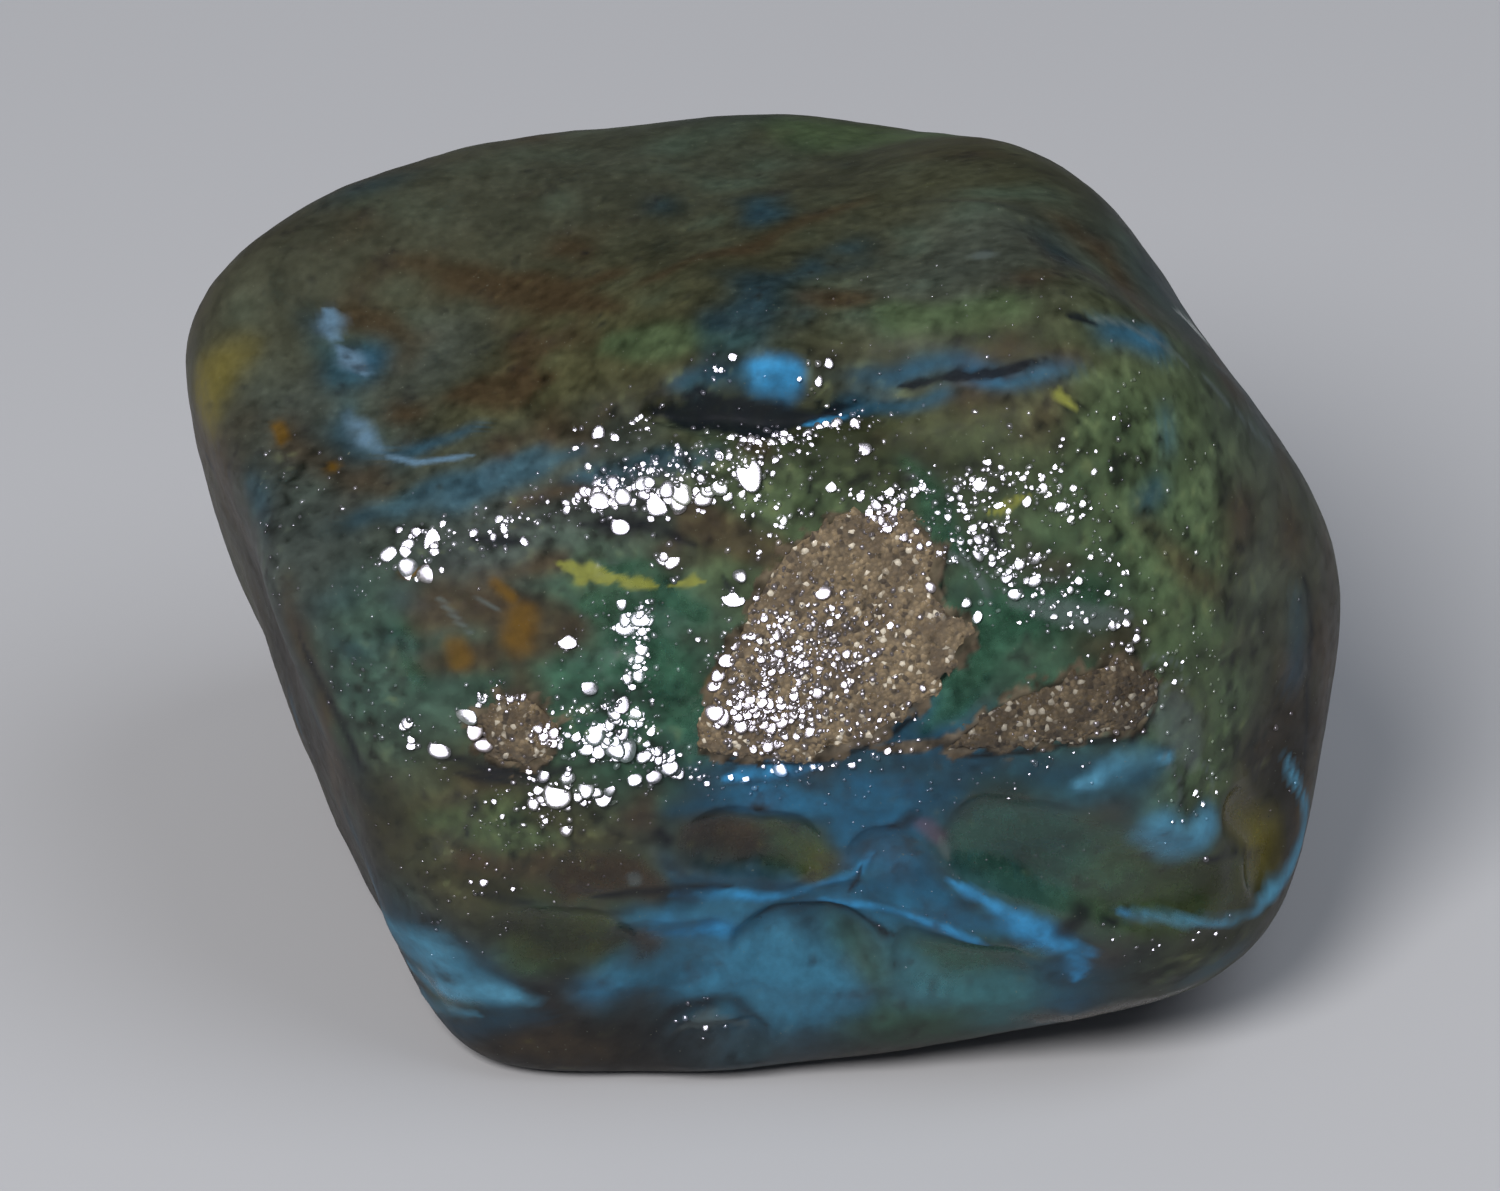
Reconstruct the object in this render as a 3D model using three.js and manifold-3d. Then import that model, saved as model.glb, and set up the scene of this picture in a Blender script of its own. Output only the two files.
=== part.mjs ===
// Rough amber nugget: one piece of amber, with three remnants of sandy crust still set in its front.
// Millimetres. +X is to the right, +Y to the back, +Z up. The nugget rests on its flat base at z = 0,
// and the origin is on the ground under the middle of its box.

import * as THREE from 'three';
import { mergeVertices } from 'three/addons/utils/BufferGeometryUtils.js';
import Module from 'manifold-3d';

// --- Driving dimensions -------------------------------------------------------------------------

const HEART = new THREE.Vector3(-0.1, -1.27, 9.5); // facets and relief are placed from this point
const EDGE_SHARPNESS = 16; // 6 is a worn pebble, 30 is a freshly broken corner
const MESH_DETAIL = 20; // splits of each edge of the icosahedron under the surface
const SEATING_GAP = 0.3; // between a crust remnant and the amber around it
const CRUST_RISE = 0.12; // how far the crust stands above the amber
const GRAIN_HEIGHT = 0.08; // roughness of the crust's top
const GROUND_SIZE = 80;

// A direction is [azimuth, elevation] in degrees, seen from the heart: azimuth 0 is right, 90 back,
// 180 left and -90 front. A facet lies square to its direction, at its reach from the heart.
const FACETS = [
  { name: 'top', facing: [125, 80], reach: 10.3 },
  { name: 'top left slope', facing: [-148, 62], reach: 10.7 },
  { name: 'upper front', facing: [-92, 25], reach: 10.7 },
  { name: 'lower front', facing: [-90, -9], reach: 11.3 },
  { name: 'front right', facing: [-42, 14], reach: 14.2 },
  { name: 'right', facing: [0, -13], reach: 15.2 },
  { name: 'right shoulder', facing: [8, 40], reach: 13.7 },
  { name: 'right back', facing: [35, 20], reach: 13.2 },
  { name: 'back right shoulder', facing: [50, 44], reach: 14.2 },
  { name: 'back', facing: [97, 12], reach: 12.7 },
  { name: 'left back', facing: [146, 14], reach: 15.9 },
  { name: 'left', facing: [-166, -17], reach: 12.4 },
  { name: 'front left', facing: [-132, -4], reach: 13.6 },
  { name: 'right underside', facing: [-35, -79], reach: 10.6 },
  { name: 'front right underside', facing: [-60, -28], reach: 16.6 },
  { name: 'back underside', facing: [95, -50], reach: 11.6 },
  { name: 'base', facing: [0, -90], reach: 11.0 },
];

// Furrows (height below zero) and ribs (above zero) along smooth lines. Width is the half width.
const LINES = [
  {
    name: 'fold under the top edge',
    stops: [[-116, 48], [-108, 51], [-97, 52], [-85, 51], [-70, 51], [-62, 50]],
    width: 0.75,
    height: -0.8,
  },
  {
    name: 'fold running on to the right',
    stops: [[-66, 51], [-58, 50], [-50, 47], [-42, 45]],
    width: 0.6,
    height: -0.4,
  },
  {
    name: 'lip below the fold',
    stops: [[-104, 46], [-91, 46], [-82, 46], [-70, 47]],
    width: 0.6,
    height: 0.3,
  },
  {
    name: 'ridge across the front',
    stops: [[-122, 4], [-114, 4], [-98, 2], [-92, 3], [-80, 6], [-68, 7], [-60, 5]],
    width: 0.7,
    height: 0.2,
  },
  {
    name: 'lower rim',
    stops: [[-68, -14], [-60, -16], [-54, -20], [-47, -17], [-41, -16], [-33, -18], [-26, -16], [-22, -9]],
    width: 0.75,
    height: 0.4,
  },
  {
    name: 'blue lip',
    stops: [[-48, -3], [-42, -6], [-37, -9]],
    width: 0.8,
    height: 0.35,
  },
  {
    name: 'arch above the foot',
    stops: [[-108, -37], [-101, -32], [-94, -31], [-87, -35]],
    width: 0.6,
    height: -0.55,
  },
  {
    name: 'scallop in the lower front',
    stops: [[-91, -23], [-84, -19], [-77, -19], [-69, -22]],
    width: 0.6,
    height: -0.35,
  },
  {
    name: 'crease in the lower front',
    stops: [[-111, -16], [-102, -15], [-96, -14], [-90, -15]],
    width: 0.6,
    height: -0.3,
  },
  {
    name: 'front left edge',
    stops: [[-156, 23], [-149, 11], [-142, 3], [-137, -7], [-139, -22], [-146, -34]],
    width: 0.9,
    height: 0.35,
  },
  {
    name: 'right top edge',
    stops: [[10, 66], [-4, 62], [-20, 57], [-33, 50], [-30, 44], [-24, 39], [-17, 30], [-12, 20]],
    width: 0.8,
    height: 0.35,
  },
  {
    name: 'right rim',
    stops: [[-11, 18], [-18, 10], [-22, 0], [-21, -8]],
    width: 0.8,
    height: 0.25,
  },
  {
    name: 'furrow over the back',
    stops: [[60, 58], [72, 40], [86, 26], [92, 8], [104, -8]],
    width: 1.2,
    height: -0.5,
  },
  {
    name: 'rib on the left back',
    stops: [[168, 38], [160, 20], [156, 4], [162, -14]],
    width: 1.1,
    height: 0.4,
  },
];

// Round hollows (height below zero) and swellings (above zero).
const ROUNDS = [
  { name: 'bright blue knob', at: [-87, 57], radius: 1.2, height: 0.45 },
  { name: 'notch behind the top edge', at: [-10, 50], radius: 1.7, height: -0.6 },
  { name: 'hollow left of the crust', at: [-113, 20], radius: 3.2, height: -0.3 },
  { name: 'hollow right of the crust', at: [-58, 24], radius: 2.4, height: -0.25 },
  { name: 'swelling on the right front', at: [-38, 12], radius: 3.6, height: 0.3 },
  { name: 'green lens', at: [-57, -8], radius: 2.6, height: -0.35 },
  { name: 'olive lens', at: [-29, -9], radius: 1.8, height: -0.35 },
  { name: 'brown lens', at: [-86, -5], radius: 1.6, height: -0.25 },
  { name: 'hollow in the scallop', at: [-80, -25], radius: 2.0, height: -0.3 },
  { name: 'foot below the arch', at: [-95, -38], radius: 1.3, height: 0.3 },
  { name: 'swelling of the lower front', at: [-102, -22], radius: 2.4, height: 0.3 },
  { name: 'hollow under the left remnant', at: [-121, 2], radius: 1.1, height: -0.35 },
  { name: 'left hollow', at: [-166, 6], radius: 3.4, height: -0.5 },
  { name: 'top hollow', at: [-30, 74], radius: 3.0, height: -0.35 },
  { name: 'top left hollow', at: [172, 58], radius: 3.6, height: -0.4 },
  { name: 'shell shaped break in the back', at: [62, 16], radius: 4.6, height: -0.8 },
  { name: 'small break low in the back', at: [122, -14], radius: 3.4, height: -0.6 },
  { name: 'hollow on the right side', at: [8, 8], radius: 3.4, height: -0.4 },
  { name: 'hollow on the left back', at: [138, 24], radius: 3.0, height: -0.45 },
];

// Low swells all over the surface: how many radians each runs through across the ball, and its height.
const SWELLS = [
  { along: [5.3, 2.1, -3.4], height: 0.12 },
  { along: [-3.8, 6.2, 2.9], height: 0.1 },
  { along: [9.4, -5.6, 7.7], height: 0.06 },
  { along: [-8.1, -9.2, 10.3], height: 0.05 },
];

// Each remnant sits at its centre on the surface, square to its own facing. Its outline is in
// millimetres, x to the right and y up as seen from outside, and it is set in by its depth.
const REMNANTS = [
  {
    name: 'sandy_crust_centre',
    centre: [-79, 22],
    facing: [-90, 26],
    depth: 1.1,
    outline: [
      [-0.2, 2.9], [0.8, 3.1], [1.8, 2.9], [2.6, 2.1], [2.5, 1.1], [3.4, 0.1], [2.6, -0.9],
      [1.9, -1.9], [0.2, -2.9], [-1.7, -3.2], [-3.3, -2.8], [-3.0, -1.0], [-2.3, 0.6], [-1.4, 2.1],
    ],
  },
  {
    name: 'sandy_crust_right',
    centre: [-55, 10],
    facing: [-70, 10],
    depth: 1.0,
    outline: [
      [-2.9, -0.9], [-1.4, 0.4], [0, 0.9], [1.7, 1.2], [2.5, 0.2], [2.0, -0.8], [0.3, -0.9], [-1.4, -1.1],
    ],
  },
  {
    name: 'sandy_crust_left',
    centre: [-119, 8],
    facing: [-102, 14],
    depth: 0.9,
    outline: [[-1.1, 0], [-0.6, 0.9], [0.3, 1.05], [1.05, 0.3], [0.8, -0.8], [-0.1, -1.1], [-0.9, -0.8]],
  },
];

const AMBER_LOOK = { color: 0x3c4a34, roughness: 0.15, metalness: 0 };
const CRUST_LOOK = { color: 0x8a7a6c, roughness: 0.85, metalness: 0 };

// --- Surface ------------------------------------------------------------------------------------

function towards([azimuth, elevation]) {
  const turn = THREE.MathUtils.degToRad(azimuth);
  const lift = THREE.MathUtils.degToRad(elevation);
  const level = Math.cos(lift);
  return new THREE.Vector3(level * Math.cos(turn), level * Math.sin(turn), Math.sin(lift));
}

const FACET_PLANES = FACETS.map(({ facing, reach }) => ({ normal: towards(facing), reach }));

// Distance from the heart to the facets, with the edges between them rounded off.
function facetedReach(direction) {
  let sum = 0;
  for (const { normal, reach } of FACET_PLANES) {
    const facing = normal.dot(direction);
    if (facing > 0) {
      sum += (facing / reach) ** EDGE_SHARPNESS;
    }
  }
  return sum ** (-1 / EDGE_SHARPNESS);
}

const LINE_STEPS = 24;
const FADE = 0.15; // share of a line over which its height dies away at each end

const LINE_PATHS = LINES.map(({ stops, width, height }) => {
  const path = new THREE.CatmullRomCurve3(stops.map(towards));
  return { points: path.getPoints(LINE_STEPS), width, height };
});

const ROUND_SPOTS = ROUNDS.map(({ at, radius, height }) => ({ middle: towards(at), radius, height }));

function bell(distance, width) {
  return Math.exp(-((distance / width) ** 2));
}

function lineRelief(direction, reach) {
  let relief = 0;
  for (const { points, width, height } of LINE_PATHS) {
    let nearest = Infinity;
    let along = 0;
    points.forEach((point, step) => {
      const distance = direction.distanceTo(point) * reach;
      if (distance < nearest) {
        nearest = distance;
        along = step / LINE_STEPS;
      }
    });
    const fromEnd = Math.min(along, 1 - along);
    relief += height * bell(nearest, width) * THREE.MathUtils.smoothstep(fromEnd, -FADE, FADE);
  }
  return relief;
}

function roundRelief(direction, reach) {
  let relief = 0;
  for (const { middle, radius, height } of ROUND_SPOTS) {
    relief += height * bell(direction.distanceTo(middle) * reach, radius);
  }
  return relief;
}

function swellRelief(direction) {
  let relief = 0;
  for (const { along, height } of SWELLS) {
    relief += height * Math.sin(direction.dot(new THREE.Vector3(...along)));
  }
  return relief;
}

function surfaceReach(direction) {
  const reach = facetedReach(direction);
  return reach + lineRelief(direction, reach) + roundRelief(direction, reach) + swellRelief(direction);
}

// A ball of even triangles, each corner drawn out to the surface and by `extra` beyond it.
function surfaceGeometry(extra) {
  const ball = new THREE.IcosahedronGeometry(1, MESH_DETAIL);
  ball.deleteAttribute('normal');
  ball.deleteAttribute('uv');
  const geometry = mergeVertices(ball, 1e-5);
  const points = geometry.attributes.position;
  const point = new THREE.Vector3();
  for (let i = 0; i < points.count; i += 1) {
    point.fromBufferAttribute(points, i).normalize();
    point.multiplyScalar(surfaceReach(point) + extra(i)).add(HEART);
    points.setXYZ(i, point.x, point.y, point.z);
  }
  return geometry;
}

// Uneven height of the sand grains, the same on every run.
function grain(index) {
  const scrambled = Math.sin(index * 12.9898) * 43758.5453;
  return GRAIN_HEIGHT * (2 * (scrambled - Math.floor(scrambled)) - 1);
}

// --- Solids -------------------------------------------------------------------------------------

const wasm = await Module();
wasm.setup();

function toSolid(geometry) {
  const mesh = new wasm.Mesh({
    numProp: 3,
    vertProperties: new Float32Array(geometry.attributes.position.array),
    triVerts: new Uint32Array(geometry.index.array),
  });
  return new wasm.Manifold(mesh);
}

function toGeometry(solid) {
  const mesh = solid.getMesh();
  const geometry = new THREE.BufferGeometry();
  geometry.setAttribute('position', new THREE.BufferAttribute(mesh.vertProperties, 3));
  geometry.setIndex(new THREE.BufferAttribute(mesh.triVerts, 1));
  geometry.computeVertexNormals();
  return geometry;
}

function bare(geometry) {
  geometry.deleteAttribute('normal');
  geometry.deleteAttribute('uv');
  return mergeVertices(geometry, 1e-5);
}

function groundSolid() {
  const block = new THREE.BoxGeometry(GROUND_SIZE, GROUND_SIZE, GROUND_SIZE);
  block.translate(0, 0, -GROUND_SIZE / 2);
  return toSolid(bare(block));
}

const OUTLINE_STEPS = 3; // between two points of an outline
const ABOVE = 3; // how far a remnant's prism runs out past the surface

// A remnant's outline, grown by `grow` all round, as a prism from `floor` below its centre.
function remnantPrism({ centre, facing, outline }, grow, floor) {
  const corners = outline.map(([x, y]) => new THREE.Vector3(x, y, 0));
  const loop = new THREE.CatmullRomCurve3(corners, true);
  const steps = outline.length * OUTLINE_STEPS;
  const shape = new THREE.Shape();
  for (let i = 0; i < steps; i += 1) {
    const point = loop.getPoint(i / steps);
    const tangent = loop.getTangent(i / steps);
    const x = point.x - tangent.y * grow;
    const y = point.y + tangent.x * grow;
    if (i === 0) {
      shape.moveTo(x, y);
    } else {
      shape.lineTo(x, y);
    }
  }
  const prism = new THREE.ExtrudeGeometry(shape, { depth: floor + ABOVE, bevelEnabled: false });
  prism.translate(0, 0, -floor);

  const out = towards(facing);
  const right = new THREE.Vector3(0, 0, 1).cross(out).normalize();
  const up = out.clone().cross(right);
  prism.applyMatrix4(new THREE.Matrix4().makeBasis(right, up, out));
  const spot = towards(centre);
  spot.multiplyScalar(surfaceReach(spot)).add(HEART);
  prism.translate(spot.x, spot.y, spot.z);
  return toSolid(bare(prism));
}

// --- The nugget ---------------------------------------------------------------------------------

function namedMesh(name, solid, look) {
  const mesh = new THREE.Mesh(toGeometry(solid), new THREE.MeshStandardMaterial(look));
  mesh.name = name;
  return mesh;
}

const nugget = new THREE.Group();
const crustSurface = toSolid(surfaceGeometry((index) => CRUST_RISE + grain(index)));
let amber = toSolid(surfaceGeometry(() => 0)).subtract(groundSolid());

for (const remnant of REMNANTS) {
  amber = amber.subtract(remnantPrism(remnant, SEATING_GAP / 2, remnant.depth));
  const prism = remnantPrism(remnant, -SEATING_GAP / 2, remnant.depth - SEATING_GAP);
  nugget.add(namedMesh(remnant.name, crustSurface.intersect(prism), CRUST_LOOK));
}
nugget.add(namedMesh('amber_body', amber, AMBER_LOOK));

export default nugget;
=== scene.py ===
"""Looks of a rough amber nugget: clouded blue, teal and olive, with sandy crust in its front."""

import math

import bpy
import numpy as np
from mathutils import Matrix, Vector
from mathutils.bvhtree import BVHTree


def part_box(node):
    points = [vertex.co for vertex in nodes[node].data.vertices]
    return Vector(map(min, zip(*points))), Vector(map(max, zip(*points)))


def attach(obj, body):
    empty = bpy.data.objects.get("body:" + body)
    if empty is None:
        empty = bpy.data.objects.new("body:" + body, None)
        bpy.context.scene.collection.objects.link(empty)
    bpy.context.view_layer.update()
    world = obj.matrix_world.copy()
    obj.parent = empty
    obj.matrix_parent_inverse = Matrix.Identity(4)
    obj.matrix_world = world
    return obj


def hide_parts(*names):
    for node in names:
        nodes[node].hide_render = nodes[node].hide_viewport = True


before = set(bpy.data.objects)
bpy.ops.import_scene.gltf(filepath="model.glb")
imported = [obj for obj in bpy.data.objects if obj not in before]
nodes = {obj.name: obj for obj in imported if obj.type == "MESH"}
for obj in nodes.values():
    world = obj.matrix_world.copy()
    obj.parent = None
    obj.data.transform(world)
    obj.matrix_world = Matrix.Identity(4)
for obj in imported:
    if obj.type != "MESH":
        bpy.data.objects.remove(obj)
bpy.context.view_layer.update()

MM = 0.001
AMBER_NODE = "amber_body"
CRUST_NODES = ["sandy_crust_centre", "sandy_crust_right", "sandy_crust_left"]

# The heart is the point inside the nugget that directions are seen from, as shares of the CAD box.
HEART_SHARE = np.array([0.497, 0.449, 0.448])
low, high = (np.array(corner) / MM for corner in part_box(AMBER_NODE))
HEART = low + HEART_SHARE * (high - low)

USUAL_REACH = 11  # millimetres from the heart to the skin of the front
FAR = 60.0  # millimetres from the heart, outside everything


# --- Directions ---
# A direction is (azimuth, elevation) in degrees: azimuth 0 is right, 90 back and -90 front.
# Lengths are millimetres, up to the stage.


def towards(azimuth, elevation):
    turn, lift = math.radians(azimuth), math.radians(elevation)
    level = math.cos(lift)
    return np.array([level * math.cos(turn), level * math.sin(turn), math.sin(lift)])


def unit(vectors):
    return vectors / np.linalg.norm(vectors, axis=-1, keepdims=True)


def smooth_path(stops, steps=5):
    """Directions along a smooth line through the stops, by a Catmull-Rom spline."""
    points = [towards(*stop) for stop in stops]
    points = [2 * points[0] - points[1], *points, 2 * points[-1] - points[-2]]
    path = []
    for before, start, end, after in zip(points, points[1:], points[2:], points[3:]):
        for t in np.linspace(0, 1, steps, endpoint=False):
            bend = (2 * before - 5 * start + 4 * end - after) * t**2
            twist = (3 * start - before - 3 * end + after) * t**3
            path.append(start + 0.5 * ((end - before) * t + bend + twist))
    path.append(points[-2])
    return unit(np.array(path))


def smoothstep(value, start, end):
    t = np.clip((value - start) / (end - start), 0, 1)
    return t * t * (3 - 2 * t)


# --- Noise ---

TABLE_SIZE = 4096
PRIMES = (73856093, 19349663, 83492791)


def lattice_key(cell, corner):
    """A place in the table of random numbers for each corner of a lattice."""
    x, y, z = (cell + corner).T
    return (x * PRIMES[0] ^ y * PRIMES[1] ^ z * PRIMES[2]) % TABLE_SIZE


def between_corners(part, value_at):
    """The values at a cell's corners, weighed by how near this part of the cell is to each."""
    total = np.zeros(len(part))
    for corner in np.ndindex(*[2] * part.shape[1]):
        total += value_at(corner) * np.prod(np.where(corner, part, 1 - part), axis=1)
    return total


def lump_noise(points, size, seed):
    """Smooth noise from -1 to 1 in lumps of this size."""
    table = np.random.default_rng(seed).uniform(-1, 1, TABLE_SIZE)
    scaled = points / size
    cell = np.floor(scaled).astype(np.int64)
    part = scaled - cell
    part = part * part * (3 - 2 * part)
    return between_corners(part, lambda corner: table[lattice_key(cell, corner)])


def rough_noise(points, size, seed, octaves):
    """Several sizes of lump noise, each half the size and strength of the last."""
    total, weight = np.zeros(len(points)), 0.0
    for octave in range(octaves):
        share = 0.5**octave
        total += share * lump_noise(points, size * share, seed + octave)
        weight += share
    return total / weight


def nearest_seed(points, size, seed):
    """Distance to the nearest seed, scattered one to a cube of this size, and its own number."""
    table = np.random.default_rng(seed).uniform(0, 1, (TABLE_SIZE, 4))
    scaled = points / size
    cell = np.floor(scaled).astype(np.int64)
    best = np.full(len(points), np.inf)
    number = np.zeros(len(points))
    for corner in np.ndindex(3, 3, 3):
        offset = np.array(corner) - 1
        drawn = table[lattice_key(cell, offset)]
        apart = np.linalg.norm(cell + offset + drawn[:, :3] - scaled, axis=1)
        closer = apart < best
        best = np.where(closer, apart, best)
        number = np.where(closer, drawn[:, 3], number)
    return best * size, number


# --- Meshes ---

# Right, up and out of each side of a cube.
CUBE_SIDES = [
    ((0, 1, 0), (0, 0, 1), (1, 0, 0)),
    ((0, -1, 0), (0, 0, 1), (-1, 0, 0)),
    ((-1, 0, 0), (0, 0, 1), (0, 1, 0)),
    ((1, 0, 0), (0, 0, 1), (0, -1, 0)),
    ((1, 0, 0), (0, 1, 0), (0, 0, 1)),
    ((1, 0, 0), (0, -1, 0), (0, 0, -1)),
]


def grid_quads(shape):
    """The quads that join a grid of points."""
    index = np.arange(shape[0] * shape[1]).reshape(shape)
    corners = index[:-1, :-1], index[1:, :-1], index[1:, 1:], index[:-1, 1:]
    return np.stack(corners, -1).reshape(-1, 4)


def quad_edges(quads):
    return np.concatenate([quads[:, [k, (k + 1) % 4]] for k in range(4)])


def joined(meshes):
    """The points and faces of several meshes as one."""
    counts = [len(points) for points, _ in meshes]
    starts = np.cumsum([0, *counts[:-1]])
    faces = [faces + start for (_, faces), start in zip(meshes, starts)]
    return np.concatenate([points for points, _ in meshes]), np.concatenate(faces)


def ball_grid(cells):
    """Nearly even directions over a ball, and the quads, this many along each edge of a cube."""
    steps = np.tan(np.linspace(-np.pi / 4, np.pi / 4, cells + 1))
    across, along = (grid.ravel() for grid in np.meshgrid(steps, steps, indexing="ij"))
    quads = grid_quads((cells + 1, cells + 1))
    sides = [
        (out + np.outer(across, right) + np.outer(along, up), quads)
        for right, up, out in np.array(CUBE_SIDES, float)
    ]
    points, quads = joined(sides)
    points = unit(points)
    _, first, merged = np.unique(
        np.round(points, 5), axis=0, return_index=True, return_inverse=True
    )
    return points[first], merged.ravel()[quads]


def closed_shell(faces, upper, lower):
    """The points and faces of a solid between two layers over the same quads."""
    used, faces = np.unique(faces, return_inverse=True)
    faces = faces.reshape(-1, 4)
    count = len(used)
    known = set(map(tuple, quad_edges(faces).tolist()))
    border = np.array(sorted(edge for edge in known if edge[::-1] not in known))
    walls = np.stack([border[:, 1], border[:, 0], border[:, 0] + count, border[:, 1] + count], -1)
    faces = np.concatenate([faces, faces[:, ::-1] + count, walls])
    return np.concatenate([upper[used], lower[used]]), faces


def tree_of(objects):
    """A ray caster over the meshes of these objects."""
    points, faces = [], []
    for one in objects:
        start = len(points)
        points += [vertex.co / MM for vertex in one.data.vertices]
        faces += [[start + v for v in polygon.vertices] for polygon in one.data.polygons]
    return BVHTree.FromPolygons(points, faces)


def ray_in(tree, direction):
    """What a ray towards the heart meets first: place, normal, face and distance."""
    out = Vector(direction)
    return tree.ray_cast(Vector(HEART) + out * FAR, -out)


def reach_of(tree, directions):
    """How far the tree reaches from the heart along each direction, or 0 where it doesn't."""
    reach = np.zeros(len(directions))
    for i, direction in enumerate(directions):
        distance = ray_in(tree, direction)[3]
        if distance is not None and distance < FAR:
            reach[i] = FAR - distance
    return reach


def at_reach(directions, reach):
    return HEART + directions * reach[:, None]


# --- A fine ball over the nugget ---

BALL_CELLS = 120
FRONT = towards(-94, 20)
CROWDING = 2.0  # how much finer the ball is at the front than on average

# How long a mark's ends taper and how far to its sides it is looked for, in radians as seen
# from the heart for each millimetre of its half width.
TAPER = 0.25
SIDES = 0.12
SPARE_SIDES = 0.1  # radians more, for any mark
THINNEST = 0.4  # the half width at the ends of a long mark, as a share of that in the middle


def crowded(directions, axis, factor):
    """The directions drawn towards an axis without shear, by scaling a stereographic map."""
    height = directions @ axis
    spread = (directions - np.outer(height, axis)) / (1 + height)[:, None] / factor
    size = (spread**2).sum(1)[:, None]
    return (1 - size) / (1 + size) * axis + 2 * spread / (1 + size)


class Surface:
    """The ball's quads with, at each corner, a direction and a reach that relief is added to."""

    def __init__(self):
        grid, self.quads = ball_grid(BALL_CELLS)
        self.directions = crowded(grid, FRONT, CROWDING)
        self.starts, self.ends = quad_edges(self.quads).T
        self.neighbours = np.bincount(self.starts, minlength=len(grid))
        cad = tree_of([nodes[name] for name in [AMBER_NODE, *CRUST_NODES]])
        self.reach = reach_of(cad, self.directions)

    def points(self):
        points = at_reach(self.directions, self.reach)
        points[:, 2] = np.maximum(points[:, 2], 0)
        return points

    def averaged(self, values, steps):
        for _ in range(steps):
            values = np.bincount(self.starts, values[self.ends], len(values)) / self.neighbours
        return values

    def closed(self, values, steps):
        """Narrow gaps filled up to the level of their sides."""
        for sign in (1, -1):
            for _ in range(steps):
                grown = sign * values
                np.maximum.at(grown, self.starts, sign * values[self.ends])
                values = sign * grown
        return values

    def closeness(self, mark, directions):
        """Distance from a mark's middle line in half widths, which taper at the ends."""
        width, *stops = mark
        path = smooth_path(stops)
        steps = np.linalg.norm(np.diff(path, axis=0), axis=1)
        travelled = np.concatenate([[0], np.cumsum(steps)])
        whole = travelled[-1]
        taper = min(TAPER * width, 0.5 * whole)
        middle = unit(path.mean(0))
        spread = np.linalg.norm(path - middle, axis=1).max() + SIDES * width + SPARE_SIDES
        near = np.flatnonzero(np.linalg.norm(directions - middle, axis=1) < spread)
        nearest = np.full(len(directions), 99.0)
        for start, end, before, length in zip(path, path[1:], travelled, steps):
            along = end - start
            apart = directions[near] - start
            share = np.clip(apart @ along / (along @ along), 0, 1)
            distance = np.linalg.norm(apart - share[:, None] * along, axis=1)
            if whole > TAPER * width:
                place = before + share * length
                fullness = smoothstep(np.minimum(place, whole - place), 0, taper)
                distance = distance / (THINNEST + (1 - THINNEST) * fullness)
            nearest[near] = np.minimum(nearest[near], distance)
        return nearest * self.reach / width


surface = Surface()


# --- Crust patches ---


class Patch:
    """A crust node seen from the heart and laid out flat, with the depth inside its outline."""

    STEP = 0.06
    MARGIN = 1.2
    OUTSIDE = -9.0  # the depth of what is off the patch
    LEAST_AHEAD = 0.05  # keeps what lies off to the side from being laid out endlessly far away
    AHEAD = 0.3  # cosine of the widest angle from the middle at which there is a depth

    def __init__(self, name):
        self.name = name
        vertices = np.array([vertex.co for vertex in nodes[name].data.vertices]) / MM - HEART
        self.middle = unit(vertices.mean(0))
        self.right = unit(np.cross([0, 0, 1], self.middle))
        self.up = np.cross(self.middle, self.right)
        self.level = (vertices @ self.middle).max()
        flat = self.flat(unit(vertices))
        self.start = flat.min(0) - self.MARGIN
        self.shape = tuple(np.ceil((np.ptp(flat, 0) + 2 * self.MARGIN) / self.STEP).astype(int))
        self.grid = self.start + self.STEP * np.indices(self.shape).reshape(2, -1).T
        self.directions = self.lifted(self.grid)
        inside = reach_of(tree_of([nodes[name]]), self.directions) > 0
        self.depth = self.signed_depth(inside)

    def flat(self, directions):
        ahead = np.maximum(directions @ self.middle, self.LEAST_AHEAD)
        sideways = np.stack([directions @ self.right, directions @ self.up], -1)
        return sideways / ahead[:, None] * self.level

    def lifted(self, flat):
        flat = flat / self.level
        return unit(self.middle + flat[:, :1] * self.right + flat[:, 1:] * self.up)

    def signed_depth(self, inside):
        square = inside.reshape(self.shape)
        edge = np.zeros(self.shape, bool)
        edge[:-1] |= square[:-1] != square[1:]
        edge[:, :-1] |= square[:, :-1] != square[:, 1:]
        depth = np.full(len(self.grid), np.inf)
        for point in self.grid[edge.ravel()]:
            np.minimum(depth, np.linalg.norm(self.grid - point, axis=1), out=depth)
        return np.where(inside, depth, -depth)

    def depth_at(self, directions):
        """Depth inside the outline, in millimetres, of any directions."""
        place = (self.flat(directions) - self.start) / self.STEP
        cell = np.floor(place).astype(int)
        on_grid = np.all((cell >= 0) & (cell < np.array(self.shape) - 1), axis=1)
        ahead = (directions @ self.middle > self.AHEAD) & on_grid
        cell, part = cell[ahead], (place - cell)[ahead]
        square = self.depth.reshape(self.shape)
        result = np.full(len(directions), self.OUTSIDE)
        result[ahead] = between_corners(part, lambda corner: square[tuple((cell + corner).T)])
        return result


patches = [Patch(name) for name in CRUST_NODES]


def crust_depth_at(directions):
    return np.max([patch.depth_at(directions) for patch in patches], axis=0)


# --- Marks on the skin ---
# Each mark is a half width in millimetres and the stops of its middle line.

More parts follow.
